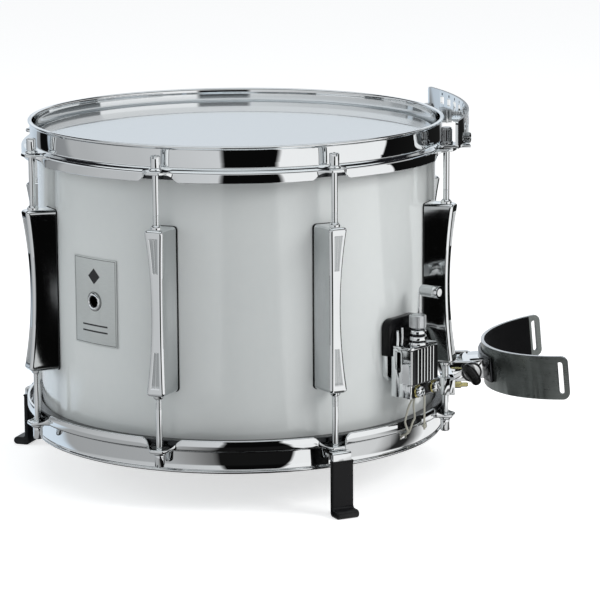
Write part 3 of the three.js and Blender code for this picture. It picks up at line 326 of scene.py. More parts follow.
def lacquer_finish():
    """White gloss over a birch shell: the ply shows on the inner wall and on the bearing edges."""
    material, shader, place, _ = finish("white lacquer over birch", {"Coat Roughness": 0.04})
    vector = place["Object"]
    x, y, z = parts_of(vector)
    inside = below(away_from_axis(x, y), (SHELL - 0.6) / 1000)
    gloss = mottled(vector, (0.74, 0.765, 0.755), (0.70, 0.73, 0.725), 0.16, 9.0, 0.6, 0.05)
    grain = vector_of(times(calc("ARCTAN2", y, x), 0.09), 0.0, times(z, 4.0))
    wood = ramp(noise(grain, 22.0, 6.0, 0.65, 0.5), [(0.3, (0.45, 0.27, 0.13)), (0.7, (0.66, 0.45, 0.25))])
    link(mix_colour(inside, gloss["Colour"], wood), shader.inputs["Base Color"])
    rough = with_node("ShaderNodeMix", {0: inside, 2: gloss["Roughness"], 3: 0.55})
    link(rough.outputs[0], shader.inputs["Roughness"])
    link(minus(1.0, inside), shader.inputs["Coat Weight"])
    grained(shader, vector, 260.0, 0.04)
    return material


def film_finish(name, colour, shade, roughness, grain, coat):
    material, shader, place, _ = finish(name, {"IOR": 1.8, "Coat Weight": coat, "Coat Roughness": 0.03})
    varied(shader, place["Object"], colour, shade, roughness, 14.0, 0.4, 0.02)
    grained(shader, place["Object"], 1600.0, grain)
    return material


def rubber_finish():
    """Black rubber, a little dusty where the boot meets the floor."""
    material, shader, place, _ = finish("foot rubber", {"Specular IOR Level": 0.22})
    vector = place["Object"]
    made = varied(shader, vector, (0.004, 0.004, 0.005), (0.012, 0.012, 0.013), 0.34, 60.0, 0.5, 0.15)
    grained(shader, vector, 900.0, 0.25)
    low = span(parts_of(vector)[2], -0.296, FLOOR / 1000)
    dust = times(times(low, made["Mask"]), 0.35)
    link(mix_colour(dust, made["Colour"], (0.1, 0.097, 0.094, 1)), shader.inputs["Base Color"])
    return material


def plastic_finish():
    material, shader, place, _ = finish("black plastic", {"Specular IOR Level": 0.2})
    varied(shader, place["Object"], (0.003, 0.003, 0.0035), (0.007, 0.007, 0.008), 0.2, 50.0, 0.5, 0.1)
    grained(shader, place["Object"], 1200.0, 0.15)
    return material


def foam_finish():
    material, shader, place, _ = finish("foam pad", {"Specular IOR Level": 0.12})
    vector = place["Object"]
    varied(shader, vector, (0.003, 0.003, 0.0035), (0.007, 0.007, 0.0075), 0.8, 40.0, 0.6, 0.15)
    cells = with_node("ShaderNodeTexVoronoi", {"Vector": vector, "Scale": 1500.0})
    link(bump(cells.outputs["Distance"], 0.5, 0.0003), shader.inputs["Normal"])
    return material


def satin_finish():
    """Dark satin metal, finely scratched along the leg rest."""
    material, shader, place, _ = finish("dark satin metal", {"Metallic": 0.85})
    vector = place["Object"]
    scratches = shared(RUBBED, {"Vector": vector, "Stretch": (0.2, 0.2, 6.0), "Scale": 260.0})["Mask"]
    made = mottled(vector, (0.15, 0.165, 0.158), (0.23, 0.25, 0.24), 0.25, 18.0, 0.5, 0.08)
    worn = mix_colour(times(scratches, 0.35), made["Colour"], (0.3, 0.32, 0.31, 1))
    link(worn, shader.inputs["Base Color"])
    link(plus(made["Roughness"], times(scratches, 0.1)), shader.inputs["Roughness"])
    grained(shader, vector, 500.0, 0.08)
    return material


def cord_finish():
    """Off-white braided cord; its map runs once round and once for each 2 mm along."""
    material, shader, place, _ = finish("braided cord", {"Roughness": 0.7})
    waves = []
    for turn in (0.7, -0.7):
        turned_map = with_node("ShaderNodeMapping", {"Vector": place["UV"], "Rotation": (0, 0, turn)})
        wave = with_node("ShaderNodeTexWave", {"Vector": turned_map.outputs[0], "Scale": 1.6})
        waves.append(wave.outputs["Fac"])
    braid = times(*waves)
    link(mix_colour(braid, (0.42, 0.41, 0.34, 1), (0.78, 0.77, 0.68, 1)), shader.inputs["Base Color"])
    link(bump(braid, 0.6, 0.0002), shader.inputs["Normal"])
    return material


def badge_finish():
    """Silver plate with a thin black border, printed and also painting the shade at the plate's edge, a ring
    round the vent, a diamond and two plain bars.
    Its map is in millimetres from the plate's middle."""
    material, shader, place, _ = finish("badge plate")
    across, up, _depth = parts_of(place["UV"])
    side, height = calc("ABSOLUTE", across), calc("ABSOLUTE", up)

    def between(value, low, high):
        return times(above(value, low), below(value, high))

    def within(half, tall):
        return times(below(side, half), below(height, tall))

    # A printed border line that also paints the shade along the plate's edge.
    border_and_edge_shade = minus(within(24.4, 37.1), within(24.0, 36.7))
    ring = between(away_from_axis(across, up), 7.9, 8.5)
    diamond = below(plus(side, calc("ABSOLUTE", minus(up, 22.0))), 7.0)
    bars = times(below(side, 15.0), plus(between(up, -21.6, -20.2), between(up, -27.0, -25.6)))
    ink = border_and_edge_shade
    for part in (ring, diamond, bars):
        ink = calc("MAXIMUM", ink, part)
    brushed = shared(RUBBED, {"Vector": place["UV"], "Stretch": (0.02, 1.0, 1.0), "Scale": 6.0})["Mask"]
    silver = mix_colour(brushed, (0.58, 0.61, 0.6, 1), (0.72, 0.75, 0.74, 1))
    link(mix_colour(ink, silver, (0.012, 0.012, 0.014, 1)), shader.inputs["Base Color"])
    link(times(minus(1.0, ink), 0.55), shader.inputs["Metallic"])
    link(plus(times(brushed, 0.12), 0.3), shader.inputs["Roughness"])
    return material


CHROME = metal_finish("chrome")
# Zinc plated steel. It is also laid on the leg rest's top edge as a painted highlight.
STEEL_AND_HIGHLIGHT = metal_finish("zinc plated steel and painted highlight", (0.62, 0.63, 0.64), 0.22, 0.12, 0.6)
KNURL = metal_finish("knurled chrome", (0.76, 0.78, 0.79), 0.36, 0.1, 0.5)
# A darker chrome that paints shade on the lugs' flanks and in their grooves.
SHADE_CHROME = metal_finish("chrome with painted shade", (0.56, 0.58, 0.585), 0.07, 0.04, 0.4)
BRASS = metal_finish("brass", (0.66, 0.6, 0.3), 0.16, 0.15, 0.5, (0.5, 0.43, 0.18), 90.0)
# Blacked steel for the black parts. The same finish is also laid on slots, grooves, flutes, holes and some
# faces as painted shade.
BLACK_AND_SHADE = metal_finish("blacked steel and painted shade", (0.05, 0.052, 0.055), 0.2, 0.12, 0.5)
GUNMETAL = metal_finish("dark chrome", (0.3, 0.305, 0.31), 0.1, 0.05, 0.5)
LACQUER = lacquer_finish()
COATED = film_finish("coated film", (0.68, 0.735, 0.765), (0.65, 0.705, 0.745), 0.1, 0.012, 1.0)
# A white that paints the highlight on the end of the throw-off lever's grip.
HIGHLIGHT_WHITE = film_finish("painted highlight white", (0.82, 0.83, 0.82), (0.78, 0.79, 0.78), 0.25, 0.01, 0.0)
CLEAR = film_finish("clear film", (0.60, 0.63, 0.64), (0.55, 0.58, 0.6), 0.12, 0.01, 0.3)
PLASTIC = plastic_finish()
RUBBER = rubber_finish()
FOAM = foam_finish()
SATIN = satin_finish()
CORD = cord_finish()
BADGE = badge_finish()


# Forms: a list of points and a list of faces
def joined(*forms):
    points, faces = [], []
    for form_points, form_faces in forms:
        start = len(points)
        points.extend(form_points)
        faces.extend([tuple(start + i for i in face) for face in form_faces])
    return points, faces


def moved(form, *matrices):
    points, faces = form
    for matrix in matrices:
        points = [matrix @ Vector(point) for point in points]
    return points, faces


def rings(sections, loop=False):
    """Closed sections of equal count joined one to the next, with flat ends unless they loop."""
    count = len(sections[0])
    points = [Vector(point) for section in sections for point in section]
    faces = []
    last = len(sections) if loop else len(sections) - 1
    for level in range(last):
        near, far = level * count, ((level + 1) % len(sections)) * count
        for i in range(count):
            j = (i + 1) % count
            faces.append((near + i, near + j, far + j, far + i))
    if not loop:
        faces.append(tuple(range(count)))
        faces.append(tuple(last * count + i for i in reversed(range(count))))
    return points, faces


def turned(profile, steps=40):
    """A profile of radii and heights turned about z. One that starts and ends on the axis is solid."""
    angles = [2 * math.pi * i / steps for i in range(steps)]
    if profile[0][0] or profile[-1][0]:
        return rings([[(r * math.cos(a), r * math.sin(a), z) for r, z in profile] for a in angles], loop=True)
    body = profile[1:-1]
    points, faces = rings([[(r * math.cos(a), r * math.sin(a), z) for a in angles] for r, z in body])
    faces = faces[:-2]
    for z, level in ((profile[0][1], 0), (profile[-1][1], len(body) - 1)):
        points.append(Vector((0, 0, z)))
        start = level * steps
        faces += [(len(points) - 1, start + i, start + (i + 1) % steps) for i in range(steps)]
    return points, faces


def rod(radius, low, high, steps=40):
    return turned([(0, low), (radius, low), (radius, high), (0, high)], steps)


def pushed(outline, low, high):
    """A flat outline of x and y pushed from one height to another."""
    return rings([[(x, y, z) for x, y in outline] for z in (low, high)])


def block(x0, x1, y0, y1, z0, z1):
    return pushed([(x0, y0), (x1, y0), (x1, y1), (x0, y1)], z0, z1)


def arc(x, y, radius, start, end, steps, tall=None):
    """Points of an arc about x and y from one angle in degrees to another, which may be an ellipse's."""
    tall = radius if tall is None else tall
    angles = [math.radians(start + (end - start) * i / steps) for i in range(steps + 1)]
    return [(x + radius * math.cos(a), y + tall * math.sin(a)) for a in angles]


def rounded(x0, x1, y0, y1, radii, steps=6):
    """A rectangle with a radius for each corner, from the low one round."""
    if not isinstance(radii, (list, tuple)):
        radii = [radii] * 4
    outline = []
    for (x, y, sx, sy, start), radius in zip(((x0, y0, 1, 1, 180), (x1, y0, -1, 1, 270), (x1, y1, -1, -1, 0),
                                              (x0, y1, 1, -1, 90)), radii):
        outline += arc(x + sx * radius, y + sy * radius, radius, start, start + 90, steps) if radius else [
            (x, y)]
    return outline


def hexagon(radius):
    return arc(0, 0, radius, 0, 300, 5)


def smooth_path(points, steps):
    """A smooth curve through the points, with steps to each stretch."""
    points = [Vector(point) for point in points]
    ends = [points[0] * 2 - points[1]] + points + [points[-1] * 2 - points[-2]]
    path = []
    for i in range(1, len(ends) - 2):
        a, b, c, d = ends[i - 1:i + 3]
        for t in (k / steps for k in range(steps)):
            path.append(0.5 * (2 * b + (c - a) * t + (2 * a - 5 * b + 4 * c - d) * t * t
                               + (3 * b - 3 * c + d - a) * t ** 3))
    return path + [points[-1]]


def tube(path, radius, sides=12, radii=None):
    """A round section carried along a path without twisting."""
    path = [Vector(point) for point in path]
    tangent = (path[1] - path[0]).normalized()
    across = tangent.orthogonal().normalized()
    sections = []
    for i, point in enumerate(path):
        ahead = (path[min(i + 1, len(path) - 1)] - path[max(i - 1, 0)]).normalized()
        across.rotate(tangent.rotation_difference(ahead))
        tangent = ahead
        other = tangent.cross(across)
        size = radii[i] if radii else radius
        sections.append([point + size * (math.cos(a) * across + math.sin(a) * other)
                         for a in (2 * math.pi * k / sides for k in range(sides))])
    return rings(sections)


def arc_band(inner, outer, half_angle, steps, low, high):
    """A strip curved about z, over half_angle degrees to each side of x."""
    return pushed(arc(0, 0, outer, -half_angle, half_angle, steps)
                  + arc(0, 0, inner, half_angle, -half_angle, steps), low, high)


def corner_cuts(half_angle, low, high, corner, steps, over, inner, outer):
    """What rounds the four corners of a strip curved about z, and reaches over its ends and edges."""
    cuts = []
    for side in (-1, 1):
        for level, edge in ((1, high), (-1, low)):
            outline = arc(-side * corner, edge - level * corner, side * corner, 90, 0, steps, level * corner)
            outline += [(side * over, edge - level * corner), (side * over, edge + level * over),
                        (-side * corner, edge + level * over)]
            cuts.append(moved(pushed(outline, inner, outer), ALONG_X, station(side * half_angle)))
    return cuts


def smooth_step(value):
    value = min(1.0, max(0.0, value))
    return value * value * (3 - 2 * value)


# From forms to pieces
def tidied(mesh, merge=0.0, levels=()):
    """The mesh with near points merged, its faces parted at some levels and its normals turned out."""
    shape = bmesh.new()
    shape.from_mesh(mesh)
    if merge:
        bmesh.ops.remove_doubles(shape, verts=shape.verts, dist=merge)
    for level in levels:
        bmesh.ops.bisect_plane(shape, geom=shape.verts[:] + shape.edges[:] + shape.faces[:],
                               plane_co=(0, 0, level), plane_no=(0, 0, 1))
    bmesh.ops.recalc_face_normals(shape, faces=shape.faces)
    shape.to_mesh(mesh)
    shape.free()
    return mesh


def as_mesh(name, form):
    points, faces = form
    mesh = bpy.data.meshes.new(name)
    mesh.from_pydata([tuple(point) for point in points], [], faces)
    return mesh


def raw_mesh(name, form):
    return tidied(as_mesh(name, form), 1e-4)


def worked_object(name, mesh):
    worked = bpy.data.objects.new(name, mesh)
    bpy.context.scene.collection.objects.link(worked)
    return worked


def bake(worked, material):
    """The plain mesh that an object's modifiers make, in one finish."""
    graph = bpy.context.evaluated_depsgraph_get()
    mesh = bpy.data.meshes.new_from_object(worked.evaluated_get(graph))
    bpy.data.objects.remove(worked)
    mesh.materials.clear()
    mesh.materials.append(material)
    return mesh


def solid(form, material, edge=0.0, cuts=(), segments=2, angle=30):
    """A mesh in millimetres, with its cuts made and its edges rounded."""
    worked = worked_object("form", form if isinstance(form, bpy.types.Mesh) else raw_mesh("form", form))
    cutters = [worked_object("cut", raw_mesh("cut", cut)) for cut in cuts]
    for cutter in cutters:
        cutting = worked.modifiers.new("cut", "BOOLEAN")
        cutting.operation = "DIFFERENCE"
        cutting.solver = "EXACT"
        cutting.object = cutter
    if edge:
        rounding = worked.modifiers.new("edge", "BEVEL")
        rounding.width = edge
        rounding.segments = segments
        rounding.limit_method = "ANGLE"
        rounding.angle_limit = math.radians(angle)
        rounding.use_clamp_overlap = True
    mesh = bake(worked, material)
    for cutter in cutters:
        bpy.data.objects.remove(cutter)
    return mesh


def lathe(material, profile, *places, steps=40, edge=0.0, cuts=()):
    """A solid turned about z and then moved."""
    return solid(moved(turned(profile, steps), *places), material, edge, cuts)


def dressed(mesh, material, chosen):
    """The mesh with another finish on the faces that a test of their centre and normal picks."""
    mesh.materials.append(material)
    for face in mesh.polygons:
        if chosen(face.center, face.normal):
            face.material_index = len(mesh.materials) - 1
    return mesh


def placed(meshes, place):
    return [(mesh, place) for mesh in meshes]


def piece(name, parts, nodes=(), body="drum", place=HERE, crease=32):
    """One object in metres from meshes, or meshes with their places, riding on a body."""
    materials = []
    whole = bmesh.new()
    for part in parts:
        mesh, own = part if isinstance(part, tuple) else (part, HERE)
        copy = mesh.copy()
        copy.transform(MM @ place @ own)
        if (place @ own).determinant() < 0:
            copy.flip_normals()
        for material in copy.materials:
            if material not in materials:
                materials.append(material)
        start = len(whole.faces)
        whole.from_mesh(copy)
        whole.faces.ensure_lookup_table()
        for face in whole.faces[start:]:
            face.material_index = materials.index(copy.materials[face.material_index])
        bpy.data.meshes.remove(copy)
    made = bpy.data.meshes.new(name)
    whole.to_mesh(made)
    whole.free()
    for material in materials:
        made.materials.append(material)
    made.shade_smooth()
    made.set_sharp_from_angle(angle=math.radians(crease))
    thing = worked_object(name, made)
    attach(thing, body)
    if nodes:
        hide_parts(*nodes)
    return thing


# Geometry node trees for what repeats or follows a rule
def shape_tree(name, inputs):
    inputs = [("Geometry", "Geometry"), *inputs, ("Material", "Material")]
    return group(name, "GeometryNodeTree", inputs, [("Geometry", "Geometry")])


def end_tree(tree, given, put, geometry):
    real = node(tree, "GeometryNodeRealizeInstances", {"Geometry": geometry})
    coloured = node(tree, "GeometryNodeSetMaterial", {
        "Geometry": real.outputs[0], "Material": given["Material"]})
    link(coloured.outputs[0], put["Geometry"])
    return tree


def grown(tree, mesh, material, **values):
    """The mesh that a tree makes of another mesh, as a plain mesh."""
    worked = worked_object("grown", mesh or bpy.data.meshes.new("start"))
    growing = worked.modifiers.new("growing", "NODES")
    growing.node_group = tree
    values = {key.replace("_", " ").title(): value for key, value in values.items()}
    values["Material"] = material
    for item in tree.interface.items_tree:
        if item.in_out == "INPUT" and item.name in values:
            growing[item.identifier] = values[item.name]
    return bake(worked, material)


def copies_round(tree, given, instance):
    """Copies of a form about z, set out by a first angle and a step."""
    points = node(tree, "GeometryNodePoints", {"Count": given["Count"]})
    index = node(tree, "GeometryNodeInputIndex").outputs[0]
    turn = vector_of(z=plus(times(index, given["Step"]), given["First"]))
    return node(tree, "GeometryNodeInstanceOnPoints", {
        "Points": points.outputs[0], "Instance": instance, "Rotation": turn}).outputs[0]


def copies_along(tree, count, start, offset, instance):
    line = node(tree, "GeometryNodeMeshLine", {"Count": count, "Start Location": start, "Offset": offset})
    return node(tree, "GeometryNodeInstanceOnPoints", {
        "Points": line.outputs[0], "Instance": instance}).outputs[0]


def make_round_tree():
    """Copies of a form set in a circle about z."""
    tree, given, put = shape_tree("set in a circle", [
        ("Count", "Int", 8), ("First", "Float", 0.0), ("Step", "Float", 0.785)])
    return end_tree(tree, given, put, copies_round(tree, given, given["Geometry"]))


def make_row_tree():
    """Copies of a form set in a straight row along z, such as the ribs of a thread."""
    tree, given, put = shape_tree("set in a row", [
        ("Count", "Int", 8), ("Start", "Float", 0.0), ("Pitch", "Float", 1.0)])
    return end_tree(tree, given, put, copies_along(
        tree, given["Count"], vector_of(z=given["Start"]), vector_of(z=given["Pitch"]), given["Geometry"]))


def make_wall_tree():
    """The shell: a rounded section of the wall carried round a circle."""
    tree, given, put = shape_tree("drum wall", [
        ("Radius", "Float", 177.5), ("Wall", "Float", 6.0), ("Height", "Float", 250.0),
        ("Edge", "Float", 2.0), ("Steps", "Int", 192)])
    circle = node(tree, "GeometryNodeCurvePrimitiveCircle", {
        "Resolution": given["Steps"], "Radius": minus(given["Radius"], times(given["Wall"], 0.5))})
    section = node(tree, "GeometryNodeCurvePrimitiveQuadrilateral", {
        "Width": given["Wall"], "Height": given["Height"]})
    fillet = node(tree, "GeometryNodeFilletCurve", {
        "Curve": section.outputs[0], "Radius": given["Edge"], "Count": 4}, mode="POLY")
    wall = node(tree, "GeometryNodeCurveToMesh", {
        "Curve": circle.outputs[0], "Profile Curve": fillet.outputs[0]})
    return end_tree(tree, given, put, wall.outputs[0])


def make_strand_tree():
    """Coiled snare wires side by side along x."""
    tree, given, put = shape_tree("snare wires", [
        ("Strands", "Int", 10), ("Pitch", "Float", 5.0), ("Length", "Float", 290.0),
        ("Radius", "Float", 0.7), ("Wire", "Float", 0.2), ("Turns", "Float", 190.0)])
    coil = node(tree, "GeometryNodeCurveSpiral", {
        "Resolution": 7, "Rotations": given["Turns"], "Start Radius": given["Radius"],
        "End Radius": given["Radius"], "Height": given["Length"]})
    wire = node(tree, "GeometryNodeCurvePrimitiveCircle", {"Resolution": 3, "Radius": given["Wire"]})
    mesh = node(tree, "GeometryNodeCurveToMesh", {
        "Curve": coil.outputs[0], "Profile Curve": wire.outputs[0]})
    laid = node(tree, "GeometryNodeTransform", {
        "Geometry": mesh.outputs[0], "Rotation": (0, math.pi / 2, 0)})
    spread = times(given["Pitch"], times(minus(given["Strands"], 1.0), -0.5))
    return end_tree(tree, given, put, copies_along(
        tree, given["Strands"], vector_of(times(given["Length"], -0.5), spread),
        vector_of(y=given["Pitch"]), laid.outputs[0]))


def make_window_tree():
    """A strip curved about z with a row of openings cut through it, set out by their arc."""
    tree, given, put = shape_tree("perforated strip", [
        ("Opening", "Object"), ("Count", "Int", 10), ("First", "Float", 0.0), ("Step", "Float", 0.05)])
    opening = node(tree, "GeometryNodeObjectInfo", {"Object": given["Opening"]}).outputs["Geometry"]
    cutters = node(tree, "GeometryNodeRealizeInstances", {"Geometry": copies_round(tree, given, opening)})
    cut = node(tree, "GeometryNodeMeshBoolean", operation="DIFFERENCE", solver="EXACT")
    link(given["Geometry"], cut.inputs["Mesh 1"])
    link(cutters.outputs[0], cut.inputs["Mesh 2"])
    return end_tree(tree, given, put, cut.outputs[0])


ROUND = make_round_tree()
ROW = make_row_tree()
DRUM_WALL = make_wall_tree()
STRANDS = make_strand_tree()
WINDOWS = make_window_tree()


def knurled(radius, low, high, ridges, depth, material, top_edge=0.8):
    """A barrel with fine upright ridges, its ends chamfered."""
    core = radius - depth
    profile = [(0, low), (core - top_edge, low), (core, low + top_edge), (core, high - top_edge),
               (core - top_edge, high), (0, high)]
    width = math.pi * core / ridges * 0.62
    ridge = pushed([(core - 0.4, -width), (radius, 0), (core - 0.4, width)], low + top_edge, high - top_edge)
    teeth = grown(ROUND, raw_mesh("ridge", ridge), material, count=ridges, first=0.0,
                  step=2 * math.pi / ridges)
    return [lathe(material, profile, steps=48), teeth]


def thread(radius, start, count, pitch):
    """Ribs along z that stand a little proud of a rod."""
    rib = turned([(radius - 0.3, -pitch * 0.45), (radius + 0.18, 0), (radius - 0.3, pitch * 0.45)], 24)
    return grown(ROW, raw_mesh("rib", rib), CHROME, count=count, start=start, pitch=pitch)


# The cord's free end, which hangs from the clamp and ends in a knot
def mapped_tube(path, radius, sides=12):
    """A tube with its own map: once round across, and once for each 2 mm along."""
    mesh = as_mesh("cord", tube(path, radius, sides))
    runs = [0.0]
    for before, after in zip(path, path[1:]):
        runs.append(runs[-1] + (Vector(after) - Vector(before)).length / 2)
    layer = mesh.uv_layers.new(name="UVMap")
    for face in mesh.polygons:
        corners = [mesh.loops[i].vertex_index for i in face.loop_indices]
        wraps = {0, sides - 1} <= {corner % sides for corner in corners}
        for loop, corner in zip(face.loop_indices, corners):
            around = corner % sides
            if wraps and around == 0:
                around = sides
            layer.data[loop].uv = (around / sides, runs[corner // sides])
    mesh.materials.append(CORD)
    return tidied(mesh)


def add_tail():
    path = [TAIL_TOP - Vector((0, 0, TAIL_LENGTH * i / 14)) for i in range(15)]
    here = station(STRAINER_ANGLE)
    tail = piece("cord_tail_line", [mapped_tube(path, CORD_RADIUS)], ["cord_tail"], "carriage", here)
    circles = arc(0, 0, 1.15, 0, 720, 40)
    knot = piece("cord_tail_knot", [mapped_tube([path[-1] + Vector((x, y, 1.9 + 2.6 * i / 40))
                                                 for i, (x, y) in enumerate(circles)], 0.75, 8)],
                 (), "carriage", here)


add_tail()


# Shell, heads and hoops
def add_shell():
    wall = grown(DRUM_WALL, None, LACQUER, radius=SHELL, wall=WALL, height=DEPTH - BEARING_GAP, edge=2.0,
                 steps=256)
    wall.transform(at(0, 0, -DEPTH / 2))
    # Level edges above and below the vent keep its cut from spreading over the whole wall
    tidied(wall, levels=(-118.0, -141.0))
    hole = moved(rod(VENT_RADIUS, SHELL - 12, SHELL + 5), ALONG_X, at(0, 0, VENT_HEIGHT),
                 station(BADGE_ANGLE))
    piece("shell_wall", [solid(wall, LACQUER, cuts=[hole])], ["shell"])


def add_heads():
    film = [(0, 0), (60, 0), (120, 0), (170, 0), (174.4, -0.05), (176.2, -0.4), (177.6, -1.1), (178.5, -2.2),
            (179.0, -3.8), (179.0, -10.3), (178.2, -10.3), (178.2, -4.0), (177.6, -2.8), (176.6, -1.9),
            (174.4, -0.85), (0, -0.8)]
    flesh_ring = [(179.1, -10.4), (186.2, -10.4), (186.8, -11.0), (186.8, -15.9), (186.2, -16.5),
                  (178.8, -16.5), (178.2, -15.9), (178.2, -11.2)]
    for name, place, skin in (("batter_head", HERE, COATED), ("snare_head", LOWER_SIDE, CLEAR)):
        parts = [lathe(skin, film, steps=192), lathe(BLACK_AND_SHADE, flesh_ring, steps=192)]
        piece(name + "_film", parts, [name], place=place)


def hoop_section(share, lift, gate):
    """The hoop's section, from a plain skirt (0) to an ear (1), or cut back to its shelf at a gate.
    Beside an ear the skirt's end lifts before the flange reaches out."""
    outer = SKIRT + 11.8 * share
    end = SKIRT_END + 7.6 * lift
    slope, bend, start = 0.2 * (1 - share), 3.0 - 1.9 * share, -7.5 - 0.2 * share
    if gate:
        outer, end, slope, bend, start = 187.1, FLANGE_UNDER, 0.0, 1.0, FLANGE
    inner = outer - 2.3
    lean = math.atan(slope)
    reach = outer - bend * (1 - math.sin(lean))
    centre = start - slope * (reach - 185.0) - bend * math.cos(lean)
    curve = arc(outer - bend, centre, bend, 90 - math.degrees(lean), 0, 7)
    foot = [(outer, end + 0.7), (outer - 0.2, end + 0.2), (outer - 0.7, end), (inner + 0.7, end)]
    if gate:
        foot += [(inner + 0.4, end), (inner + 0.2, end), (inner, end)]
    else:
        foot += [(inner + 0.2, end + 0.2), (inner, end + 0.7), (inner, max(FLANGE_UNDER - 0.5, end + 0.75))]
    return [
        (BAND_INNER + 0.7, FLANGE_UNDER), (BAND_INNER + 0.15, -9.4), (BAND_INNER, -8.4), (BAND_INNER, 4.0),
        (BAND_INNER, 10.2), (181.5, 11.2), (182.1, 11.8), (183.0, 12.0), (184.0, 11.95), (184.8, 11.6),
        (185.2, 11.0), (185.2, 10.3), (184.9, 9.8), (184.3, 9.4), (183.8, 8.9), (BAND_OUTER, 8.1),
        (BAND_OUTER, 2.0), (BAND_OUTER, -5.9), (183.75, -6.6), (184.15, -7.1), (184.6, -7.4), (185.0, start),
        *curve, *foot, (inner - 0.5, FLANGE_UNDER)]


def hoop_form(gates=()):
    """A hoop of sections in columns: close together at the ears and the gates, and even between."""
    reach = 19.0
    columns = []
    for angle in LUG_ANGLES:
        for i in range(-24, 25):
            offset = reach * i / 24
            share = smooth_step(1 - (abs(offset) - 4.5) / 9.5)
            lift = smooth_step(1 - (abs(offset) - 8.0) / 10.5)
            columns.append((math.radians(angle) + offset / SKIRT, share, lift, False))
        gap = math.radians(45) - 2 * reach / SKIRT
        start = math.radians(angle) + reach / SKIRT
        columns += [(start + gap * i / 20, 0.0, 0.0, False) for i in range(1, 20)]
    half, step = 18.0 / SKIRT, 0.12 / SKIRT
    for middle in map(math.radians, gates):
        def away(turn):
            return abs((turn - middle + math.pi) % (2 * math.pi) - math.pi)

        columns = [(a, share, lift, gate or away(a) < half) for a, share, lift, gate in columns
                   if abs(away(a) - half) > 3 * step]
        for side in (-1, 1):
            columns += [(middle + side * (half + step), 0.0, 0.0, False),
                        (middle + side * (half - step), 0.0, 0.0, True)]
    columns.sort(key=lambda column: column[0] % (2 * math.pi))
    return rings([[(r * math.cos(a), r * math.sin(a), z) for r, z in hoop_section(share, lift, gate)]
                  for a, share, lift, gate in columns], loop=True)


def add_hoops():
    piece("batter_hoop_ring", [solid(hoop_form(), CHROME)], ["batter_hoop"], crease=50)
    # In the drawn frame, before it is turned over, an angle stays as it is
    gates = (STRAINER_ANGLE, BUTT_ANGLE)
    holes = [moved(block(178, 188, -5, 5, -7.4, 0.8), station(angle)) for angle in gates]
    piece("snare_hoop_ring", [solid(hoop_form(gates), CHROME, cuts=holes)], ["snare_hoop"],
          place=LOWER_SIDE, crease=50)


add_shell()
add_heads()
add_hoops()

# Lugs and tension rods
LUG_HALF = 71.2
LUG_FRONT = 198.0
LUG_EDGE = 3.4
LUG_FLARE = 6.0
LUG_WAIST = 5.4
LUG_SPREAD = 3.3
GROOVE = 0.3


def lug_section(z):
    """Half the section at a height, from the shell to the front's middle, as x and y. The front's two
    panels have three shallow grooves each."""
    share = (z / LUG_HALF) ** 2
    into = max(0.0, abs(z) - (LUG_HALF - LUG_EDGE))
    inset = LUG_EDGE - math.sqrt(max(0.0, LUG_EDGE ** 2 - into ** 2))
    half = LUG_WAIST + LUG_SPREAD * share - 0.8 * inset
    front = LUG_FRONT + LUG_FLARE * share - inset
    foot, back = 11.5 - 0.9 * inset, SEAT_RADIUS
    deep, tall = front - LUG_EDGE - back, foot - half
    side = [(back, foot), (back + 0.33 * deep, foot - 0.36 * tall), (back + 0.66 * deep, foot - 0.7 * tall),
            (front - LUG_EDGE, half), *arc(front - LUG_EDGE, half - LUG_EDGE, LUG_EDGE, 78.75, 0, 7)]
    sunk = smooth_step(abs(z) - 33) * smooth_step(64.5 - abs(z))
    wide = max(0.3, (half - LUG_EDGE) * 0.84)
    low, ridge = front - GROOVE * sunk, front - 0.05 * sunk
    grooves = [(front, wide + 0.1), (low, wide - 0.15)]
    for middle in (wide * 0.72, wide * 0.36):
        grooves += [(low, middle + 0.16), (ridge, middle), (low, middle - 0.16)]
    return side + grooves + [(low, 0.25), (ridge, 0.05)]


def lug_form():
    heights = sorted({round(side * z, 3) for side in (-1, 1) for z in (
        [LUG_HALF - LUG_EDGE * (1 - math.cos(i * math.pi / 20)) for i in range(11)]
        + [i * 2.5 for i in range(25)] + [32.9, 33.4, 34.0, 35.0, 63.4, 64.0, 64.6, 66.0])})
    sections = []
    for z in heights:
        half = lug_section(z)
        sections.append([(x, -y, z) for x, y in half] + [(x, y, z) for x, y in reversed(half)])
    return moved(rings(sections), at(0, 0, -DEPTH / 2))


def lug_gasket():
    """A thin black seat between the lug and the shell, a little proud of the lug's foot."""
    outline = rounded(-12.1, 12.1, -DEPTH / 2 - 71.5, -DEPTH / 2 + 71.5, 3.4)
    return moved(pushed(outline, 176.6, 178.3), ALONG_X)


def lug_bush():
    profile = [(ROD_HOLE, 69.0), (4.8, 69.0), (4.8, 72.6), (4.5, 73.5), (3.9, 74.2), (ROD_HOLE, 74.5)]
    upper = moved(turned(profile), at(ROD_CIRCLE, 0, -DEPTH / 2))
    return joined(upper, moved(upper, LOWER_SIDE))


def lug_screws():
    """Mounting screws, whose heads and washers are inside the shell."""
    screw = turned([(0, 167.8), (4.2, 167.8), (4.8, 168.6), (4.8, 169.6), (6, 169.6), (6, 170.7),
                    (2.4, 170.7), (2.4, 183.0), (0, 183.0)], 32)
    return joined(*[moved(screw, ALONG_X, at(0, 0, side * 48 - DEPTH / 2)) for side in (-1, 1)])


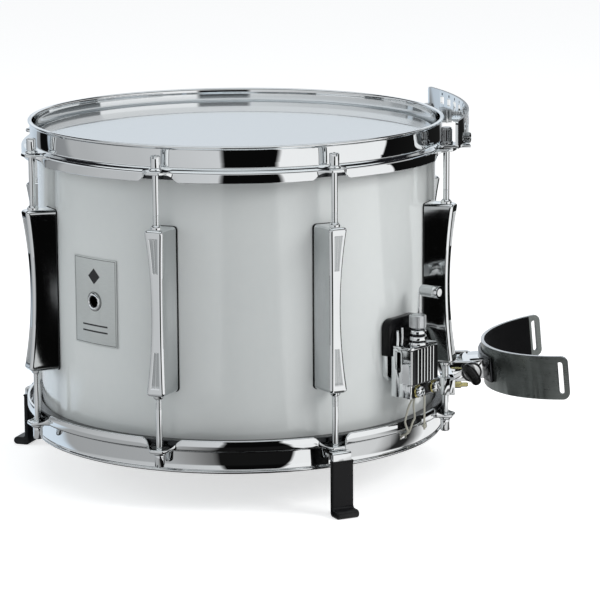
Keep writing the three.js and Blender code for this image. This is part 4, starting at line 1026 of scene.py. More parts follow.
def add_lugs():
    step = math.pi / 4
    first = math.radians(LUG_ANGLES[0])
    sets = [grown(ROUND, raw_mesh("lug", form), material, count=8, first=first, step=step)
            for form, material in ((lug_form(), CHROME), (lug_gasket(), PLASTIC), (lug_bush(), CHROME),
                                   (lug_screws(), STEEL_AND_HIGHLIGHT))]

    def lug_shade_faces(centre, normal):
        """A flank of a lug, or the sunk part of a panel on its front: both get painted shade."""
        turn = first + step * round((math.atan2(centre.y, centre.x) - first) / step)
        out = Vector((math.cos(turn), math.sin(turn), 0))
        across = Vector((-math.sin(turn), math.cos(turn), 0))
        share = ((centre.z + DEPTH / 2) / LUG_HALF) ** 2
        sunk = LUG_FRONT + LUG_FLARE * share - centre.dot(out)
        in_panel = 0.16 < sunk < 0.5 and abs(centre.dot(across)) < (2.0 + LUG_SPREAD * share) * 0.86
        return abs(normal.dot(across)) > 0.88 or (in_panel and share < 0.83)

    dressed(sets[0], SHADE_CHROME, lug_shade_faces)
    piece("lug_castings", sets, [f"lug_{i + 1}" for i in range(8)], crease=26)


def rod_parts():
    """A slotted head on a washer, and a threaded shaft."""
    seat = -7.4
    low, high = seat + 1.8, seat + 12.6
    return [
        lathe(CHROME, [(0, low), (3.9, low), (4.25, low + 0.4), (4.25, high - 1.2), (3.9, high - 0.4),
                       (3.1, high), (0, high)], edge=0.25,
              cuts=[block(-6, 6, -0.75, 0.75, high - 2.6, high + 1.4)]),
        lathe(CHROME, [(2.9, seat), (5.4, seat), (5.6, seat + 0.3), (5.6, seat + 1.0), (5.1, seat + 1.6),
                       (4.4, low), (2.9, low)]),
        lathe(CHROME, [(0, -76), (2.2, -76), (2.75, -75.2), (2.75, -44.5), (2.8, -44), (2.8, seat + 2),
                       (0, seat + 2)], steps=32), thread(2.75, -75.0, 34, 0.9)]


def stud_parts():
    return [lathe(CHROME, [(0, -76), (2.2, -76), (2.75, -75.2), (2.75, -1.0), (2.75, 7.2), (2.3, 8.0),
                           (0, 8.0)], steps=32), thread(2.75, -75.0, 34, 0.9)]


def add_rods():
    rods, studs = rod_parts(), stud_parts()
    for i, angle in enumerate(LUG_ANGLES):
        here = station(angle) @ at(ROD_CIRCLE, 0, 0)
        name = f"batter_rod_{i + 1}"
        if i in CARRIER_LUGS:
            piece(f"upper_stud_{i + 1}", studs, [name], place=here)
        else:
            piece(f"upper_rod_{i + 1}", rods, [name], name, place=here)
        name = f"snare_rod_{i + 1}"
        piece(f"lower_rod_{i + 1}", rods, [name], name, place=LOWER_SIDE @ here)


add_lugs()
add_rods()


# Badge and vent
def add_badge():
    half = math.degrees(25.5 / SHELL)
    plate = solid(arc_band(SEAT_RADIUS, SEAT_RADIUS + 0.6, half, 24, -38.2, 38.2), BADGE, 0.15,
                  [moved(rod(VENT_RADIUS, 170, 186), ALONG_X)])
    layer = plate.uv_layers[0] if plate.uv_layers else plate.uv_layers.new(name="UVMap")
    for face in plate.polygons:
        for loop in face.loop_indices:
            x, y, z = plate.vertices[plate.loops[loop].vertex_index].co
            layer.data[loop].uv = (math.atan2(y, x) * SHELL, z)
    here = station(BADGE_ANGLE) @ at(0, 0, VENT_HEIGHT)
    piece("badge_plate", [plate], ["badge"], place=here)
    eyelet = [(5.0, 169.5), (6.0, 169.5), (6.0, 178.7), (7.1, 178.7), (7.4, 179.0), (7.3, 179.5),
              (6.8, 180.0), (6.1, 180.2), (5.4, 179.9), (5.0, 179.2)]
    back_ring = [(6.0, 168.9), (7.4, 168.9), (7.4, 170.2), (6.0, 170.2)]
    # A black sleeve in the vent's bore: painted shade.
    painted_dark_layer = [(4.75, 169.6), (5.0, 169.6), (5.0, 178.6), (4.75, 178.6)]
    parts = [lathe(material, profile, ALONG_X, steps=steps) for profile, material, steps in (
        (eyelet, CHROME, 64), (back_ring, CHROME, 64), (painted_dark_layer, BLACK_AND_SHADE, 48))]
    piece("vent_eyelet", parts, ["vent_grommet"], place=here)


add_badge()


# Strainer, in its station
def add_strainer_base():
    here = station(STRAINER_ANGLE)
    clear = rod(SEAT_RADIUS, -240, -100, 192)
    upper, lower, pocket = (moved(pushed(rounded(-half, half, low, high, radii), back, front), ALONG_X)
                            for half, low, high, radii, back, front in (
        (23, -180, -148, [0, 0, 8, 8], 172, 185), (21.5, -203.5, -179.7, [8, 8, 0, 0], 172, 182),
        (18.8, -200.8, -179.0, [6, 6, 0, 0], 180.4, 184)))
    lower = dressed(solid(lower, CHROME, 0.9, [clear, pocket], 3), BLACK_AND_SHADE,
                    lambda centre, normal: 180.2 < centre.x < 181.2 and abs(centre.y) < 18.9)
    piece("strainer_back", [solid(upper, PLASTIC, 0.9, [clear], 3), lower], ["strainer_base"], place=here)
    posts = []
    for low, high in (((190.4, -18.5, -170.5), (188.0, -15.5, -157.5)),
                      ((190.2, -12.0, -170.5), (189.4, -10.4, -155.5))):
        path = smooth_path([low, (Vector(low) + Vector(high)) / 2 + Vector((0.4, 0, 0)), high], 6)
        posts.append(solid(tube(path, 1.3, 14), CHROME, 0.3))
    piece("strainer_posts", posts, place=here)


def box_slots(depth):
    outline = rounded(190.9, 195.1, -193.4, -175.0, 2.05)
    return [moved(pushed(outline, side * (BOX_HALF - depth), side * (BOX_HALF + 3)), ALONG_Y)
            for side in (-1, 1)]


def slot_shade(centre, normal):
    """The walls of the slots in the box's sides, which get painted shade."""
    return 190.0 < centre.x < 196.0 and 14 < abs(centre.y) < 19.8 and -194 < centre.z < -174.4


def neck_groove_shade(centre, normal):
    """The strainer neck's necked-in levels, apart from its bore, which get painted shade."""
    away = math.hypot(centre.x - NECK_X, centre.y)
    return away > 6 and any(low < centre.z < high for low, high in (
        (-168.0, -166.8), (-162.6, -161.2), (-157.9, -157.0)))


def add_housing():
    rear = block(185.3, 193.0, -BOX_HALF, BOX_HALF, BOX_BOTTOM, BOX_TOP - 1)
    lid = pushed(rounded(185.3, 206.5, -BOX_HALF, BOX_HALF, [0.5, 4, 4, 0.5]), BOX_TOP - 2.5, BOX_TOP)
    neck = [(3.3, BOX_TOP - 1), (9.4, BOX_TOP - 1), (9.4, -169.3), (9.1, -168.5), (8.5, -168.1),
            (7.4, -167.9), (7.4, -166.9), (8.0, -166.7), (8.3, -166.3), (8.3, -163.5), (8.0, -163.0),
            (7.3, -162.7), (6.6, -162.5), (6.6, -161.3), (7.2, -161.1), (7.6, -160.7), (7.6, -158.7),
            (7.2, -158.2), (6.4, -157.8), (6.4, -157.0), (3.3, -157.0)]
    seat = [(3.4, -171.4), (10.2, -171.4), (10.2, -170.3), (3.4, -170.3)]
    # The slots' walls and the neck's grooves are painted black: painted shade.
    parts = [dressed(solid(rear, CHROME, 0.4, box_slots(4.0)), BLACK_AND_SHADE, slot_shade), solid(lid, CHROME, 0.4),
             lathe(BLACK_AND_SHADE, seat, at(NECK_X, 0, 0), steps=48),
             dressed(lathe(CHROME, neck, at(NECK_X, 0, 0), steps=56), BLACK_AND_SHADE, neck_groove_shade)]
    side_screw = [(0, 15.7), (1.9, 15.7), (1.9, 18.4), (1.6, 18.8), (0, 18.8)]
    parts += [lathe(BLACK_AND_SHADE, side_screw, Matrix.Diagonal((1, 1, side, 1)), ALONG_Y, at(192.05, 0, -191.0),
                    steps=24, edge=0.2) for side in (-1, 1)]
    piece("strainer_box_rear", parts, ["strainer_housing"], place=station(STRAINER_ANGLE))


def fluted_outline(back):
    """The carriage's plan: rounded front corners and six rounded ribs that stand in flutes painted black as
    shade.
    """
    outline = [(back, BOX_HALF), (back, -BOX_HALF), *arc(205.4, -18.9, 1.1, -90, 0, 4)]
    for middle in (-9.8, -4.6, -0.2, 4.2, 8.6, 13.0):
        outline += [(206.5, middle - 2.0), (205.0, middle - 1.7), (205.0, middle - 0.95),
                    *arc(205.0, middle, 1.6, -60, 60, 4, 0.9),
                    (205.0, middle + 0.95), (205.0, middle + 1.7), (206.5, middle + 2.0)]
    return outline + arc(205.4, 18.9, 1.1, 0, 90, 4)


def flute_shade(centre, normal):
    """The carriage's front, painted black as shade: its lands and flutes, but not the ribs."""
    if centre.x < 204.8 or abs(normal.z) > 0.5 or abs(centre.y) > 18.9:
        return False
    return normal.x > 0.97 or centre.x < 205.06 or abs(normal.y) > 0.97


def add_carriage():
    here = station(STRAINER_ANGLE)
    front = solid(pushed(fluted_outline(193.3), -202.9, BOX_TOP - 2.8), CHROME, 0, box_slots(4.6))
    jaw = solid(block(193.3, 201.9, -BOX_HALF, BOX_HALF, BOX_BOTTOM, -202.6), CHROME, 0.4)
    # The slots' walls and the flutes are painted black: painted shade.
    piece("strainer_box_front", [dressed(dressed(front, BLACK_AND_SHADE, slot_shade), BLACK_AND_SHADE, flute_shade), jaw],
          ["strainer_carriage"], "carriage", place=here, crease=40)
    plate = pushed(rounded(202.2, 206.9, -21.5, 21.5, [0.4, 2.2, 2.2, 0.4]), BOX_BOTTOM, -203.3)
    holes = [moved(rod(2.3, 198, 210, 24), ALONG_X, at(0, y, CLAMP_SCREW_HEIGHT))
             for y in (-CLAMP_SCREW_Y, CLAMP_SCREW_Y)]
    # A black sheet over the clamp's chrome front: a painted dark reflection.
    painted_dark_layer = moved(pushed(rounded(-20.2, 20.2, BOX_BOTTOM + 1.3, -204.6, 0.8), 206.6, 207.0), ALONG_X)
    piece("cord_clamp_plate", [solid(plate, CHROME, 0.5, holes), solid(painted_dark_layer, BLACK_AND_SHADE, 0.1, holes)],
          ["cord_clamp"], "carriage", place=here)


def add_clamp_screws():
    """Slotted round heads on brass washers, drawn along x from the clamp's front."""
    head = [(0, 1.2), (4.4, 1.2), (4.8, 1.6), (4.8, 4.2), (4.3, 5.0), (3.2, 5.5), (0, 5.6)]
    washer = [(2.1, 0.3), (5.4, 0.3), (5.6, 0.6), (5.6, 0.95), (5.3, 1.2), (2.1, 1.2)]
    shank = [(0, -11), (1.6, -11), (2.0, -10.4), (2.0, 1.3), (0, 1.3)]
    parts = [lathe(CHROME, head, ALONG_X, edge=0.2, cuts=[moved(block(-6, 6, -0.7, 0.7, 4.0, 7), ALONG_X)]),
             lathe(BRASS, washer, ALONG_X), lathe(STEEL_AND_HIGHLIGHT, shank, ALONG_X, steps=24)]
    for number, side, turn in ((1, -1, 25), (2, 1, -60)):
        place = at(206.9, side * CLAMP_SCREW_Y, CLAMP_SCREW_HEIGHT) @ Matrix.Rotation(
            math.radians(turn), 4, "X")
        piece(f"clamp_screw_{number}_slotted", parts, [f"cord_clamp_screw_{number}"], f"clamp_screw_{number}",
              place=station(STRAINER_ANGLE) @ place)


def add_knob():
    low = -156.3
    top = low + 11.6
    parts = knurled(7.3, low, top, 36, 0.35, KNURL) + [
        lathe(STEEL_AND_HIGHLIGHT, [(0, low - 26), (3.0, low - 26), (3.0, low + 1), (0, low + 1)], steps=32),
        lathe(KNURL, [(0, top - 0.4), (5.6, top - 0.4), (5.9, top), (5.2, top), (4.9, top - 0.3),
                      (0, top - 0.3)])]
    piece("tension_knob_knurled", parts, ["strainer_knob"], "tension_knob",
          place=station(STRAINER_ANGLE) @ at(NECK_X, 0, 0))


def add_lever():
    """A hub on its pin, a stem that bends into a knurled grip, and a white plug of painted highlight in the
    grip's end, in a black ring of painted shade.
    """
    hub = [(0, 185.6), (4.6, 185.6), (5.0, 186.0), (5.0, 192.3), (4.5, 192.9), (0, 192.9)]
    hinge = at(0, 12, HINGE_HEIGHT)
    stem = tube(smooth_path([(x, 13, z) for x, z in (
        (191.1, HINGE_HEIGHT), (191.1, -146), (191.1, -132), (191.4, -128), (193.0, -126.2),
        (196.0, GRIP_HEIGHT))], 6), 1.5, 16)
    grip = knurled(5.0, 193.6, 207.0, 30, 0.3, KNURL) + [lathe(material, profile) for profile, material in (
        ([(0, 192.4), (3.4, 192.5), (4.5, 193.2), (4.7, 194.0), (0, 194.0)], CHROME),
        ([(3.9, 206.8), (4.6, 206.8), (5.3, 207.6), (5.3, 212.0), (5.1, 212.4), (4.7, 212.4), (4.7, 210.6),
          (3.9, 210.6)], CHROME),
        # A black ring of painted shade round a white plug of painted highlight.
        ([(3.0, 209.0), (4.8, 209.0), (4.8, 212.3), (3.0, 212.3)], BLACK_AND_SHADE),
        ([(0, 208.0), (3.4, 208.0), (3.4, 212.4), (2.8, 212.7), (0, 212.8)], HIGHLIGHT_WHITE))]
    pin = moved(rod(2.4, 180.6, 189, 24), ALONG_X, hinge)
    parts = [lathe(CHROME, hub, ALONG_X, hinge), solid(pin, CHROME), solid(stem, CHROME, 0.2),
             *placed(grip, at(0, 13, GRIP_HEIGHT) @ ALONG_X)]
    piece("throw_off_lever", parts, ["strainer_lever"], "throw_lever", place=station(STRAINER_ANGLE))


def cord_route():
    """The doubled cord: down, through the gate, past the hoop and round behind the snares' plate."""
    def leg(side):
        near = 1.5 * side
        return [(195.5, near, -215.3), (194.6, near, -219.0), (191.8, 3.5 * side, -226.8),
                (190.6, 7.0 * side, -238.6), (189.7, 5.25 * side, -242.6), (189.35, near, -249.3),
                (187.7, near, -252.0), (182.7, near, -254.7), (178.0, near, -258.0),
                (168.9, near, UNDER_HEAD), (159.9, near, UNDER_HEAD)]
    return leg(-1) + [(153.2, 0, UNDER_HEAD)] + leg(1)[::-1]


def add_cords():
    for name, angle, node_name in (("snare_cord", STRAINER_ANGLE, "strainer_cord"),
                                   ("butt_end_cord", BUTT_ANGLE, "butt_cord")):
        mesh = mapped_tube(smooth_path(cord_route(), 8), CORD_RADIUS, 10)
        cord = piece(name, [mesh], [node_name], place=station(angle))
        if node_name == "strainer_cord":
            cord.parent = None
            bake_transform(cord)


def add_snares():
    plates = [solid(pushed(rounded(x, x + 12, -25, 25, 1.5), -259.6, -257.6), STEEL_AND_HIGHLIGHT, 0.3)
              for x in (-152.0, 140.0)]
    wires = grown(STRANDS, None, STEEL_AND_HIGHLIGHT, strands=10, pitch=47 / 9, length=288.0, radius=0.5, wire=0.22,
                  turns=180.0)
    piece("snare_wire_set", [*plates, (wires, at(0, 0, UNDER_HEAD))], ["snare_wires"],
          place=station(STRAINER_ANGLE))


def add_butt():
    here = station(BUTT_ANGLE)
    base = moved(pushed(rounded(-15, 15, -215, -192, 4), 172, 199.4), ALONG_X)
    plate = moved(pushed(rounded(-15, 15, -210.5, -196.5, 2), 199.7, 204.7), ALONG_X)
    screws = [lathe(CHROME, [(0, 204.6), (4.8, 204.6), (4.8, 206.0), (4.2, 206.8), (0, 206.9)],
                    ALONG_X, at(0, y, -203.5), steps=36, edge=0.2,
                    cuts=[moved(block(-6, 6, -0.6, 0.6, 205.8, 208), ALONG_X, at(0, y, -203.5))])
              for y in (-7.5, 7.5)]
    clear = rod(SEAT_RADIUS, -240, -100, 192)
    piece("butt_base", [solid(base, CHROME, 0.7, [clear])], ["butt_block"], place=here)
    piece("butt_plate", [solid(plate, CHROME, 0.5), *screws], ["butt_block"], place=here)


add_strainer_base()
add_housing()
add_carriage()
add_clamp_screws()
add_knob()
add_lever()
add_cords()
add_snares()
add_butt()


# Carrier plate on the player's side
def add_carrier_plate():
    reach = (CARRIER_CURVE - 6, CARRIER_CURVE + 4)
    window = moved(pushed(rounded(-4.5, 4.5, 7.7, 14.7, 1.2), *reach), ALONG_X)
    pinhole = moved(rod(1.3, *reach, 16), ALONG_X, at(0, 0, 17.1))
    step = math.asin(18.6 / CARRIER_CURVE)
    strip = solid(arc_band(CARRIER_CURVE - CARRIER_THICK, CARRIER_CURVE, CARRIER_HALF, 72, CARRIER_LOW,
                           CARRIER_HIGH), CHROME)
    for form in (window, pinhole):
        opening = worked_object("opening", raw_mesh("opening", form))
        strip = grown(WINDOWS, strip, CHROME, opening=opening, count=10, first=-4.5 * step, step=step)
        bpy.data.objects.remove(opening)

    def dark(centre, normal):
        """Painted shade inside the small holes and along the upper edge."""
        away = math.hypot(centre.x, centre.y)
        in_hole = 15.7 < centre.z < 18.5 and CARRIER_CURVE - 2.15 < away < CARRIER_CURVE - 0.05
        return (in_hole and abs(normal.x) < 0.7) or (centre.z > 19.6 and normal.z > 0.3)

    cuts = corner_cuts(CARRIER_HALF, CARRIER_LOW, CARRIER_HIGH, 3, 6, 1.0, *reach)
    piece("carrier_strip", [dressed(solid(strip, CHROME, 0.35, cuts, 2, 40), BLACK_AND_SHADE, dark)],
          ["carrier_plate_front", "carrier_plate_rear"], place=at(CARRIER_CENTRE, 0, 0), crease=40)


def add_carrier_brackets():
    raised = at(0, 0, 0.2)
    head = [(0, -2.2), (0.8, -2.2), (0.8, 0.0), (4.2, 0.0), (4.6, 0.4), (4.6, 3.0), (4.1, 3.8), (2.8, 4.1),
            (0, 4.2)]
    # The slot in the bolt's head is painted black as shade.
    bolt = dressed(lathe(GUNMETAL, head, ALONG_X, raised, steps=36, edge=0.2,
                         cuts=[moved(block(-6, 6, -0.6, 0.6, 3.0, 6), ALONG_X)]),
                   BLACK_AND_SHADE, lambda centre, normal: abs(centre.y) < 0.62 and centre.x > 2.9)
    shank = lathe(STEEL_AND_HIGHLIGHT, [(0, -9), (2.2, -9), (2.2, 1), (0, 1)], ALONG_X, raised, steps=24)
    nut = solid(moved(pushed(hexagon(4.0), -7.4, -5.0), ALONG_X, raised), STEEL_AND_HIGHLIGHT, 0.4)
    upright = solid(block(-4.9, -2.5, -10, 10, -7.4, 5.1), KNURL, 0.5)
    low, high = -4.6, 9.8
    knurled_nut = knurled(5.1, low + 2.2, high - 1.4, 20, 0.2, GUNMETAL, 0.6) + [
        lathe(GUNMETAL, [(0, low), (5.9, low), (6.0, low + 0.4), (5.9, low + 1.6), (5.2, low + 2.4),
                         (0, low + 2.4)]),
        lathe(GUNMETAL, [(0, high - 1.6), (4.5, high - 1.6), (4.6, high - 0.8), (4.1, high - 0.1),
                         (3.4, high), (0, high)])]
    for name, y in (("front", -ROD_Y), ("rear", ROD_Y)):
        turn = math.degrees(math.asin(y / CARRIER_CURVE))
        place = at(CARRIER_CENTRE, 0, 0) @ station(turn) @ at(CARRIER_CURVE, 0, 0)
        outline = rounded(ROD_X - 8, 200.6, y - 10, y + 10, [5, 0.6, 0.6, 5])
        hole = moved(rod(ROD_HOLE, -9, -2, 24), at(ROD_X, y, 0))
        tab = solid(pushed(outline, -7.4, -4.9), CHROME, 0.5, [hole])
        piece(f"carrier_bracket_{name}_bent", [(upright, place), tab, *placed([bolt, shank, nut], place)],
              [f"carrier_bracket_{name}"])
        node_name = f"carrier_nut_{name}"
        piece(node_name + "_knurled", knurled_nut, [node_name], node_name, place=at(ROD_X, y, 0))


add_carrier_plate()
add_carrier_brackets()

# Leg rest, its block, bracket and clamp lever
TILTED = at(*REST_PIVOT) @ Matrix.Rotation(math.radians(REST_TILT), 4, "Y")


def add_rest_bracket():
    z = REST_PIVOT.z
    front = ROD_X + 8
    bar = pushed(rounded(-82.02, 82.02, z - 8, z + 8, 2.5), front - 4.8, front)
    parts = [solid(moved(bar, ALONG_X), CHROME, 0.6)]
    for side in (-1, 1):
        y = side * ROD_Y
        outline = rounded(front - 12.6, front - 0.3, y - 6.8, y + 6.8, [5.5, 0.5, 0.5, 5.5])
        boss = pushed(outline, z - 8, z + 8)
        hole = moved(rod(ROD_HOLE, z - 12, z + 12, 28), at(ROD_X, y, 0))
        y0, y1 = sorted((side * 19, side * 24.5))
        eye = moved(pushed([(front - 2, z - 9), *arc(REST_PIVOT.x, z, 9, -90, 90, 16), (front - 2, z + 9)],
                           y0, y1), ALONG_Y)
        pin_hole = moved(rod(PIN_HOLE, y0 - 2, y1 + 2, 32), ALONG_Y, at(REST_PIVOT.x, 0, z))
        parts += [solid(boss, CHROME, 0.5, [hole]), solid(eye, CHROME, 0.6, [pin_hole], 2, 35)]
    piece("leg_rest_yoke", parts, ["leg_rest_bracket"])
    head = [(0, 0.3), (2.0, 0.3), (3.0, 0.3), (3.0, 5.9), (2.6, 6.3), (2.0, 6.3), (2.0, 11.5), (1.4, 12.3),
            (0, 12.3)]
    screw = [lathe(BRASS, head, ALONG_X, steps=32, edge=0.25),
             lathe(STEEL_AND_HIGHLIGHT, [(0, -4.8), (2.0, -4.8), (2.0, 0.8), (0, 0.8)], ALONG_X, steps=24)]
    for name, y in (("front", -ROD_Y), ("rear", ROD_Y)):
        node_name = f"leg_rest_screw_{name}"
        piece(node_name + "_set", screw, [node_name], node_name, place=at(front, y, z))


def towards_drum(form):
    """A form about z, set about the leg rest's own centre so that it bulges towards the drum."""
    points, faces = form
    return [Vector((REST_CENTRE - x, y, z)) for x, y, z in points], faces


def add_rest_block():
    half = 18.6
    hole = moved(rod(PIN_HOLE, -half - 2, half + 2, 32), ALONG_Y)
    eye = [(0, -half), (7.8, -half), (8.4, -half + 0.6), (8.4, half - 0.6), (7.8, half), (0, half)]
    saddle = arc_band(REST_RADIUS + 0.2, REST_RADIUS + 3.2, math.degrees(math.asin(32 / 97.3)), 24, -10.5, 13)
    parts = [lathe(CHROME, eye, ALONG_Y, steps=48, cuts=[hole]),
             solid(block(0, 12.6, -half, half, -8.6, 8.6), CHROME, 0.8, [hole]),
             solid(towards_drum(saddle), BLACK_AND_SHADE, 0.9)]
    piece("leg_rest_saddle", parts, ["leg_rest_block"], "leg_rest", place=TILTED)


def add_rest():
    reach = (REST_RADIUS - 6, REST_RADIUS + 3)
    middle = (REST_LOW + REST_HIGH) / 2
    cuts = corner_cuts(REST_HALF, REST_LOW, REST_HIGH, 6, 8, 2.0, *reach)
    slot = moved(pushed(rounded(-2.5, 2.5, middle - 14.5, middle + 14.5, 2.4), *reach), ALONG_X)
    slot_angle = REST_HALF - math.degrees(7 / REST_RADIUS)
    cuts += [moved(slot, station(side * slot_angle)) for side in (-1, 1)]
    strip = arc_band(REST_RADIUS - REST_THICK, REST_RADIUS, REST_HALF, 96, REST_LOW, REST_HIGH)
    plate = solid(towards_drum(strip), SATIN, 0.9, [towards_drum(cut) for cut in cuts], 3, 40)
    # The strip's upward top edge gets the lighter steel: a painted highlight.
    plate = dressed(plate, STEEL_AND_HIGHLIGHT, lambda centre, normal: normal.z > 0.45 and centre.z > REST_HIGH - 1.2)
    piece("leg_rest_strip", [plate], ["leg_rest"], "leg_rest", TILTED, 40)


def add_pad():
    """A soft pad along the inside of the leg rest, with rounded edges and thinner ends."""
    outer = REST_RADIUS - 3.3
    half = REST_HALF - math.degrees(12.5 / REST_RADIUS)
    low, high = REST_LOW + 0.6, REST_HIGH - 0.6
    steps, ends = 80, 0.035
    sections = []
    for i in range(steps + 1):
        share = 2 * i / steps - 1
        angle = math.radians(half * share)
        into_end = max(0.0, (abs(share) - (1 - ends)) / ends)
        thick = 0.8 + 2.7 * math.sqrt(max(0.0, 1 - into_end ** 2))
        section = [(outer, low), (outer, high)]
        for a in (math.pi * k / 12 for k in range(13)):
            crown = 1 - abs(math.cos(a)) ** 6
            height = (low + high + (high - low) * math.cos(a)) / 2
            section.append((outer - thick * (0.55 + 0.45 * crown), height))
        sections.append([(r * math.cos(angle), r * math.sin(angle), z) for r, z in section])
    pad = piece("leg_rest_cushion", [solid(towards_drum(rings(sections)), FOAM)], ["leg_rest_pad"],
                "leg_rest", TILTED, 50)


def add_rest_lever():
    front = -24.8
    y = front - 3.2
    hub = [(0, y), (8.3, y), (9, front - 2.6), (9, front - 0.4), (8.6, front), (0, front)]
    ring = [(7.3, front - 3.4), (8.4, front - 3.4), (9.1, front - 2.7), (9.1, front - 1.6),
            (7.3, front - 1.6)]
    start, end = Vector((-5, y - 6, 4.5)), Vector((1, y - 23, -2))
    path = smooth_path([start, start.lerp(end, 0.33) + Vector((0, 0, 0.6)),
                        start.lerp(end, 0.67) + Vector((0, 0, 0.4)), end], 6)
    radii = [4.6 + 0.4 * math.sin(math.pi * i / (len(path) - 1)) for i in range(len(path))]
    cap = [(0, -5.0), *arc(0, 0, 5.0, -75, 75, 10), (0, 5.0)]
    parts = [lathe(CHROME, hub, ALONG_Y, steps=48),
             solid(moved(rod(3.4, front - 1, 3 - front, 32), ALONG_Y), STEEL_AND_HIGHLIGHT),
             solid(moved(pushed(hexagon(7.0), -front, 5 - front), ALONG_Y), STEEL_AND_HIGHLIGHT, 0.5),
             solid(tube(path, 5, 24, radii), PLASTIC), lathe(BLACK_AND_SHADE, ring, ALONG_Y, steps=48),
             *[lathe(PLASTIC, cap, Matrix.Diagonal((0.92, 0.92, 0.92, 1)), at(*point), steps=24)
               for point in (start, end)],
             solid(moved(rod(4.2, y - 5, y + 1.6, 32), ALONG_Y), PLASTIC)]
    piece("clamp_lever_handle", parts, ["leg_rest_lever"], "clamp_lever", at(*REST_PIVOT))


add_rest_bracket()
add_rest_block()
add_rest()
add_pad()
add_rest_lever()


# Feet: a bent strap in a rubber boot
def add_feet():
    outer, inner, bend = 208.6, 206.0, 2.6
    heel, toe, strap_end = ROD_CIRCLE - 7, 221.0, -301.8
    strap = [(heel, FOOT_FACE), *arc(outer - bend, FOOT_FACE - bend, bend, 90, 0, 6), (outer, strap_end),
             (inner, strap_end), (inner, FOOT_FACE - 2.6), (heel, FOOT_FACE - 2.6)]
    hole = moved(rod(ROD_HOLE, FOOT_FACE - 6, FOOT_FACE + 3, 28), at(ROD_CIRCLE, 0, 0))
    metal = solid(moved(pushed(strap, -8.8, 8.8), ALONG_Y), CHROME, 0.4, [hole])
    top = FOOT_FACE - 7.6
    inner, outer = 205.0, 209.6
    boot = [(inner, top), *arc(inner + 3.5, FLOOR + 3.5, 3.5, 180, 270, 8),
            *arc(toe - 3.5, FLOOR + 3.5, 3.5, -90, 90, 12), (outer + 2.2, FLOOR + 7),
            (outer + 0.9, FLOOR + 7.6), (outer + 0.15, FLOOR + 9), (outer, top)]
    rubber = solid(moved(pushed(boot, -10.2, 10.2), ALONG_Y), RUBBER, 1.9, (), 4)
    collar = solid(pushed(rounded(204.6, 210.0, -10.6, 10.6, 1.5), top - 1.6, top + 0.1), RUBBER, 0.5)
    for number, lug in enumerate(FOOT_LUGS, 1):
        here = station(LUG_ANGLES[lug])
        piece(f"foot_{number}_strap", [metal], [f"foot_{number}"], place=here)
        piece(f"foot_{number}_boot", [rubber, collar], [f"foot_{number}"], place=here)


add_feet()


# Studio: a pale floor, a white backdrop seen by the camera, and broad light and dark flags that only
# reflections see
def make_studio():
    tree, given, put = group("studio reflections", "ShaderNodeTree", [
        ("Direction", "Vector"), ("Near", "Float", -1.0)], [("Colour", "Color")])
    x, y, z = parts_of(given["Direction"])
    share = plus(calc("DIVIDE", calc("ARCTAN2", y, x), 2 * math.pi), 0.5)

    def sector(stops):
        """What is seen all round, from degrees, a level and how much it tends to blue."""
        return ramp(share, [
            ((degrees + 180) / 360, tuple(level * (1 + part * tint) for part in (0, 0.015, 0.03)))
            for degrees, level, tint in stops])

    sides = sector([
        (-180, 0.45, 1), (-160, 0.51, 1), (-144, 0.53, 1), (-116, 0.6, 1), (-100.5, 0.64, 1),
        (-99.5, 0.003, 0), (-70.5, 0.003, 0), (-70, 0.93, 0), (-7, 0.93, 0), (-6.5, 0.004, 0),
        (60, 0.012, 0), (70, 0.6, 2), (76, 0.68, 4), (112, 0.62, 9), (126, 0.5, 9), (127, 0.28, 3),
        (132, 0.26, 3), (133, 0.004, 0), (144, 0.004, 0), (145, 0.46, 9), (149, 0.46, 9), (150, 0.03, 0),
        (151.5, 0.03, 0), (152, 0.26, 2), (163, 0.28, 2), (168, 0.45, 1), (180, 0.45, 1)])
    lifted = sector([
        (-180, 0.7, 2), (-8, 0.7, 0), (-6, 0.55, 0), (55, 0.5, 0), (65, 0.82, 4), (112, 0.82, 4),
        (122, 0.62, 6), (134, 0.4, 2), (142, 0.4, 2), (150, 0.66, 3), (180, 0.7, 2)])
    near = sector([
        (-180, 0.61, 9), (-174, 0.36, 1), (-120, 0.39, 1), (-112, 0.3, 0), (-102, 0.14, 0), (-100, 0.008, 0),
        (-71.5, 0.008, 0), (-71, 0.9, 0), (-60, 0.9, 0), (-58, 0.1, 0), (-52, 0.1, 0), (-50, 0.68, 0),
        (-32, 0.66, 0), (-24, 0.36, 0), (-19, 0.02, 0), (-11, 0.02, 0), (-5, 0.3, 0), (3, 0.92, 0),
        (60, 0.86, 0), (110, 0.5, 0), (150, 0.7, 9), (176, 0.66, 9), (180, 0.61, 9)])
    away = away_from_axis(x, y)
    # Close under the drum, the floor as reflections see it is painted dark: a painted shadow of the drum.
    close = mix_colour(1.0, near, span(away, 0.2, 0.24, 0.04), "MULTIPLY")
    close = mix_colour(above(given["Near"], 0.1), near, close)
    around = mix_colour(span(away, given["Near"], plus(given["Near"], 0.06)), close, sides)
    # Above the horizon the walls are paler, as a head's sheen and the inside of a hoop show
    around = mix_colour(span(z, 0.155, 0.17), around, lifted)
    overhead = ramp(z, [
        (0.0, (0.012, 0.012, 0.014)), (0.72, (0.012, 0.012, 0.014)), (0.76, (0.9, 0.93, 0.95)),
        (0.9, (0.84, 0.88, 0.9)), (1.0, (0.7, 0.74, 0.76))])
    link(mix_colour(span(z, 0.44, 0.47), around, overhead), put["Colour"])
    return tree


STUDIO = make_studio()


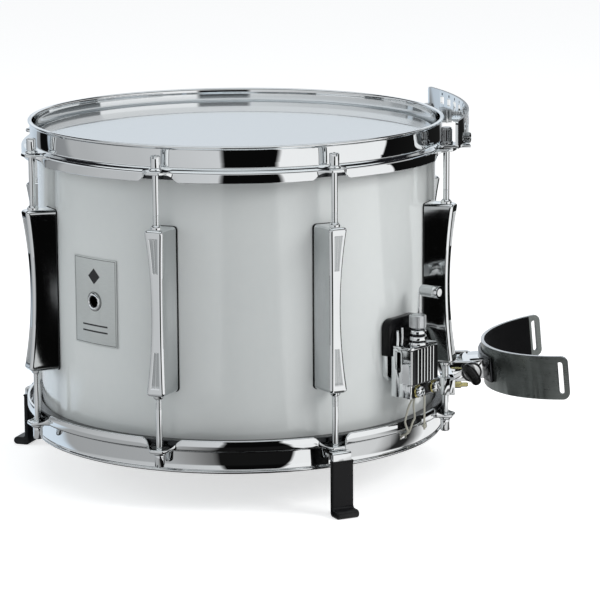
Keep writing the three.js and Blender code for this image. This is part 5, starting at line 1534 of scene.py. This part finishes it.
def add_world():
    world = bpy.data.worlds.new("studio")
    world.use_nodes = True
    tree = world.node_tree
    tree.nodes.clear()
    rays = node(tree, "ShaderNodeLightPath").outputs
    seen = shared(STUDIO, {"Direction": node(tree, "ShaderNodeTexCoord").outputs["Generated"]})
    colour = mix_colour(rays["Is Glossy Ray"], (0.37, 0.38, 0.39, 1), seen["Colour"])
    for ray in ("Is Transmission Ray", "Is Camera Ray"):
        colour = mix_colour(rays[ray], colour, (1, 1, 1, 1))
    background = node(tree, "ShaderNodeBackground", {"Color": colour, "Strength": 1.0})
    node(tree, "ShaderNodeOutputWorld", {"Surface": background.outputs[0]})
    bpy.context.scene.world = world


def add_floor():
    material, shader, place, output = finish("studio floor", {
        "Roughness": 0.9, "Specular IOR Level": 0, "Emission Color": (1, 1, 1, 1)})
    tree = material.node_tree
    rays = node(tree, "ShaderNodeLightPath").outputs
    made = mottled(place["Object"], (0.86, 0.86, 0.86), (0.84, 0.84, 0.84), 0.9, 3.0, 0.3, 0.05)
    link(made["Colour"], shader.inputs["Base Color"])
    link(times(rays["Is Camera Ray"], 0.6), shader.inputs["Emission Strength"])
    seen = shared(STUDIO, {"Direction": place["Object"], "Near": 0.44})
    glow = node(tree, "ShaderNodeEmission", {"Color": seen["Colour"], "Strength": 1.0})
    mixed = node(tree, "ShaderNodeMixShader", {
        0: rays["Is Glossy Ray"], 1: shader.outputs[0], 2: glow.outputs[0]})
    link(mixed.outputs[0], output.inputs["Surface"])
    mesh = as_mesh("floor", moved(rod(6000, FLOOR - 1, FLOOR, 96), MM))
    mesh.materials.append(material)
    worked_object("studio_floor", mesh)


def add_lamp(name, azimuth, elevation, distance, size, power, colour=(1, 1, 1)):
    data = bpy.data.lights.new(name, "AREA")
    data.shape = "RECTANGLE"
    data.size, data.size_y = size
    data.energy = power
    data.color = colour
    lamp = bpy.data.objects.new(name, data)
    a, e = math.radians(azimuth), math.radians(elevation)
    place = Vector((math.cos(a) * math.cos(e), math.sin(a) * math.cos(e), math.sin(e))) * distance
    lamp.matrix_world = Matrix.Translation(place + Vector((0, 0, -0.13))) @ (
        place.to_track_quat("Z", "Y").to_matrix().to_4x4())
    lamp.visible_glossy = False
    bpy.context.scene.collection.objects.link(lamp)


add_world()
add_floor()
add_lamp("key", -30, 30, 2.6, (1.2, 1.2), 31)
add_lamp("side", 178, 18, 2.8, (1.2, 1.6), 22, (0.93, 0.98, 1))
add_lamp("top", -90, 80, 2.4, (1.8, 1.8), 9)

bpy.context.scene.view_settings.view_transform = "Standard"
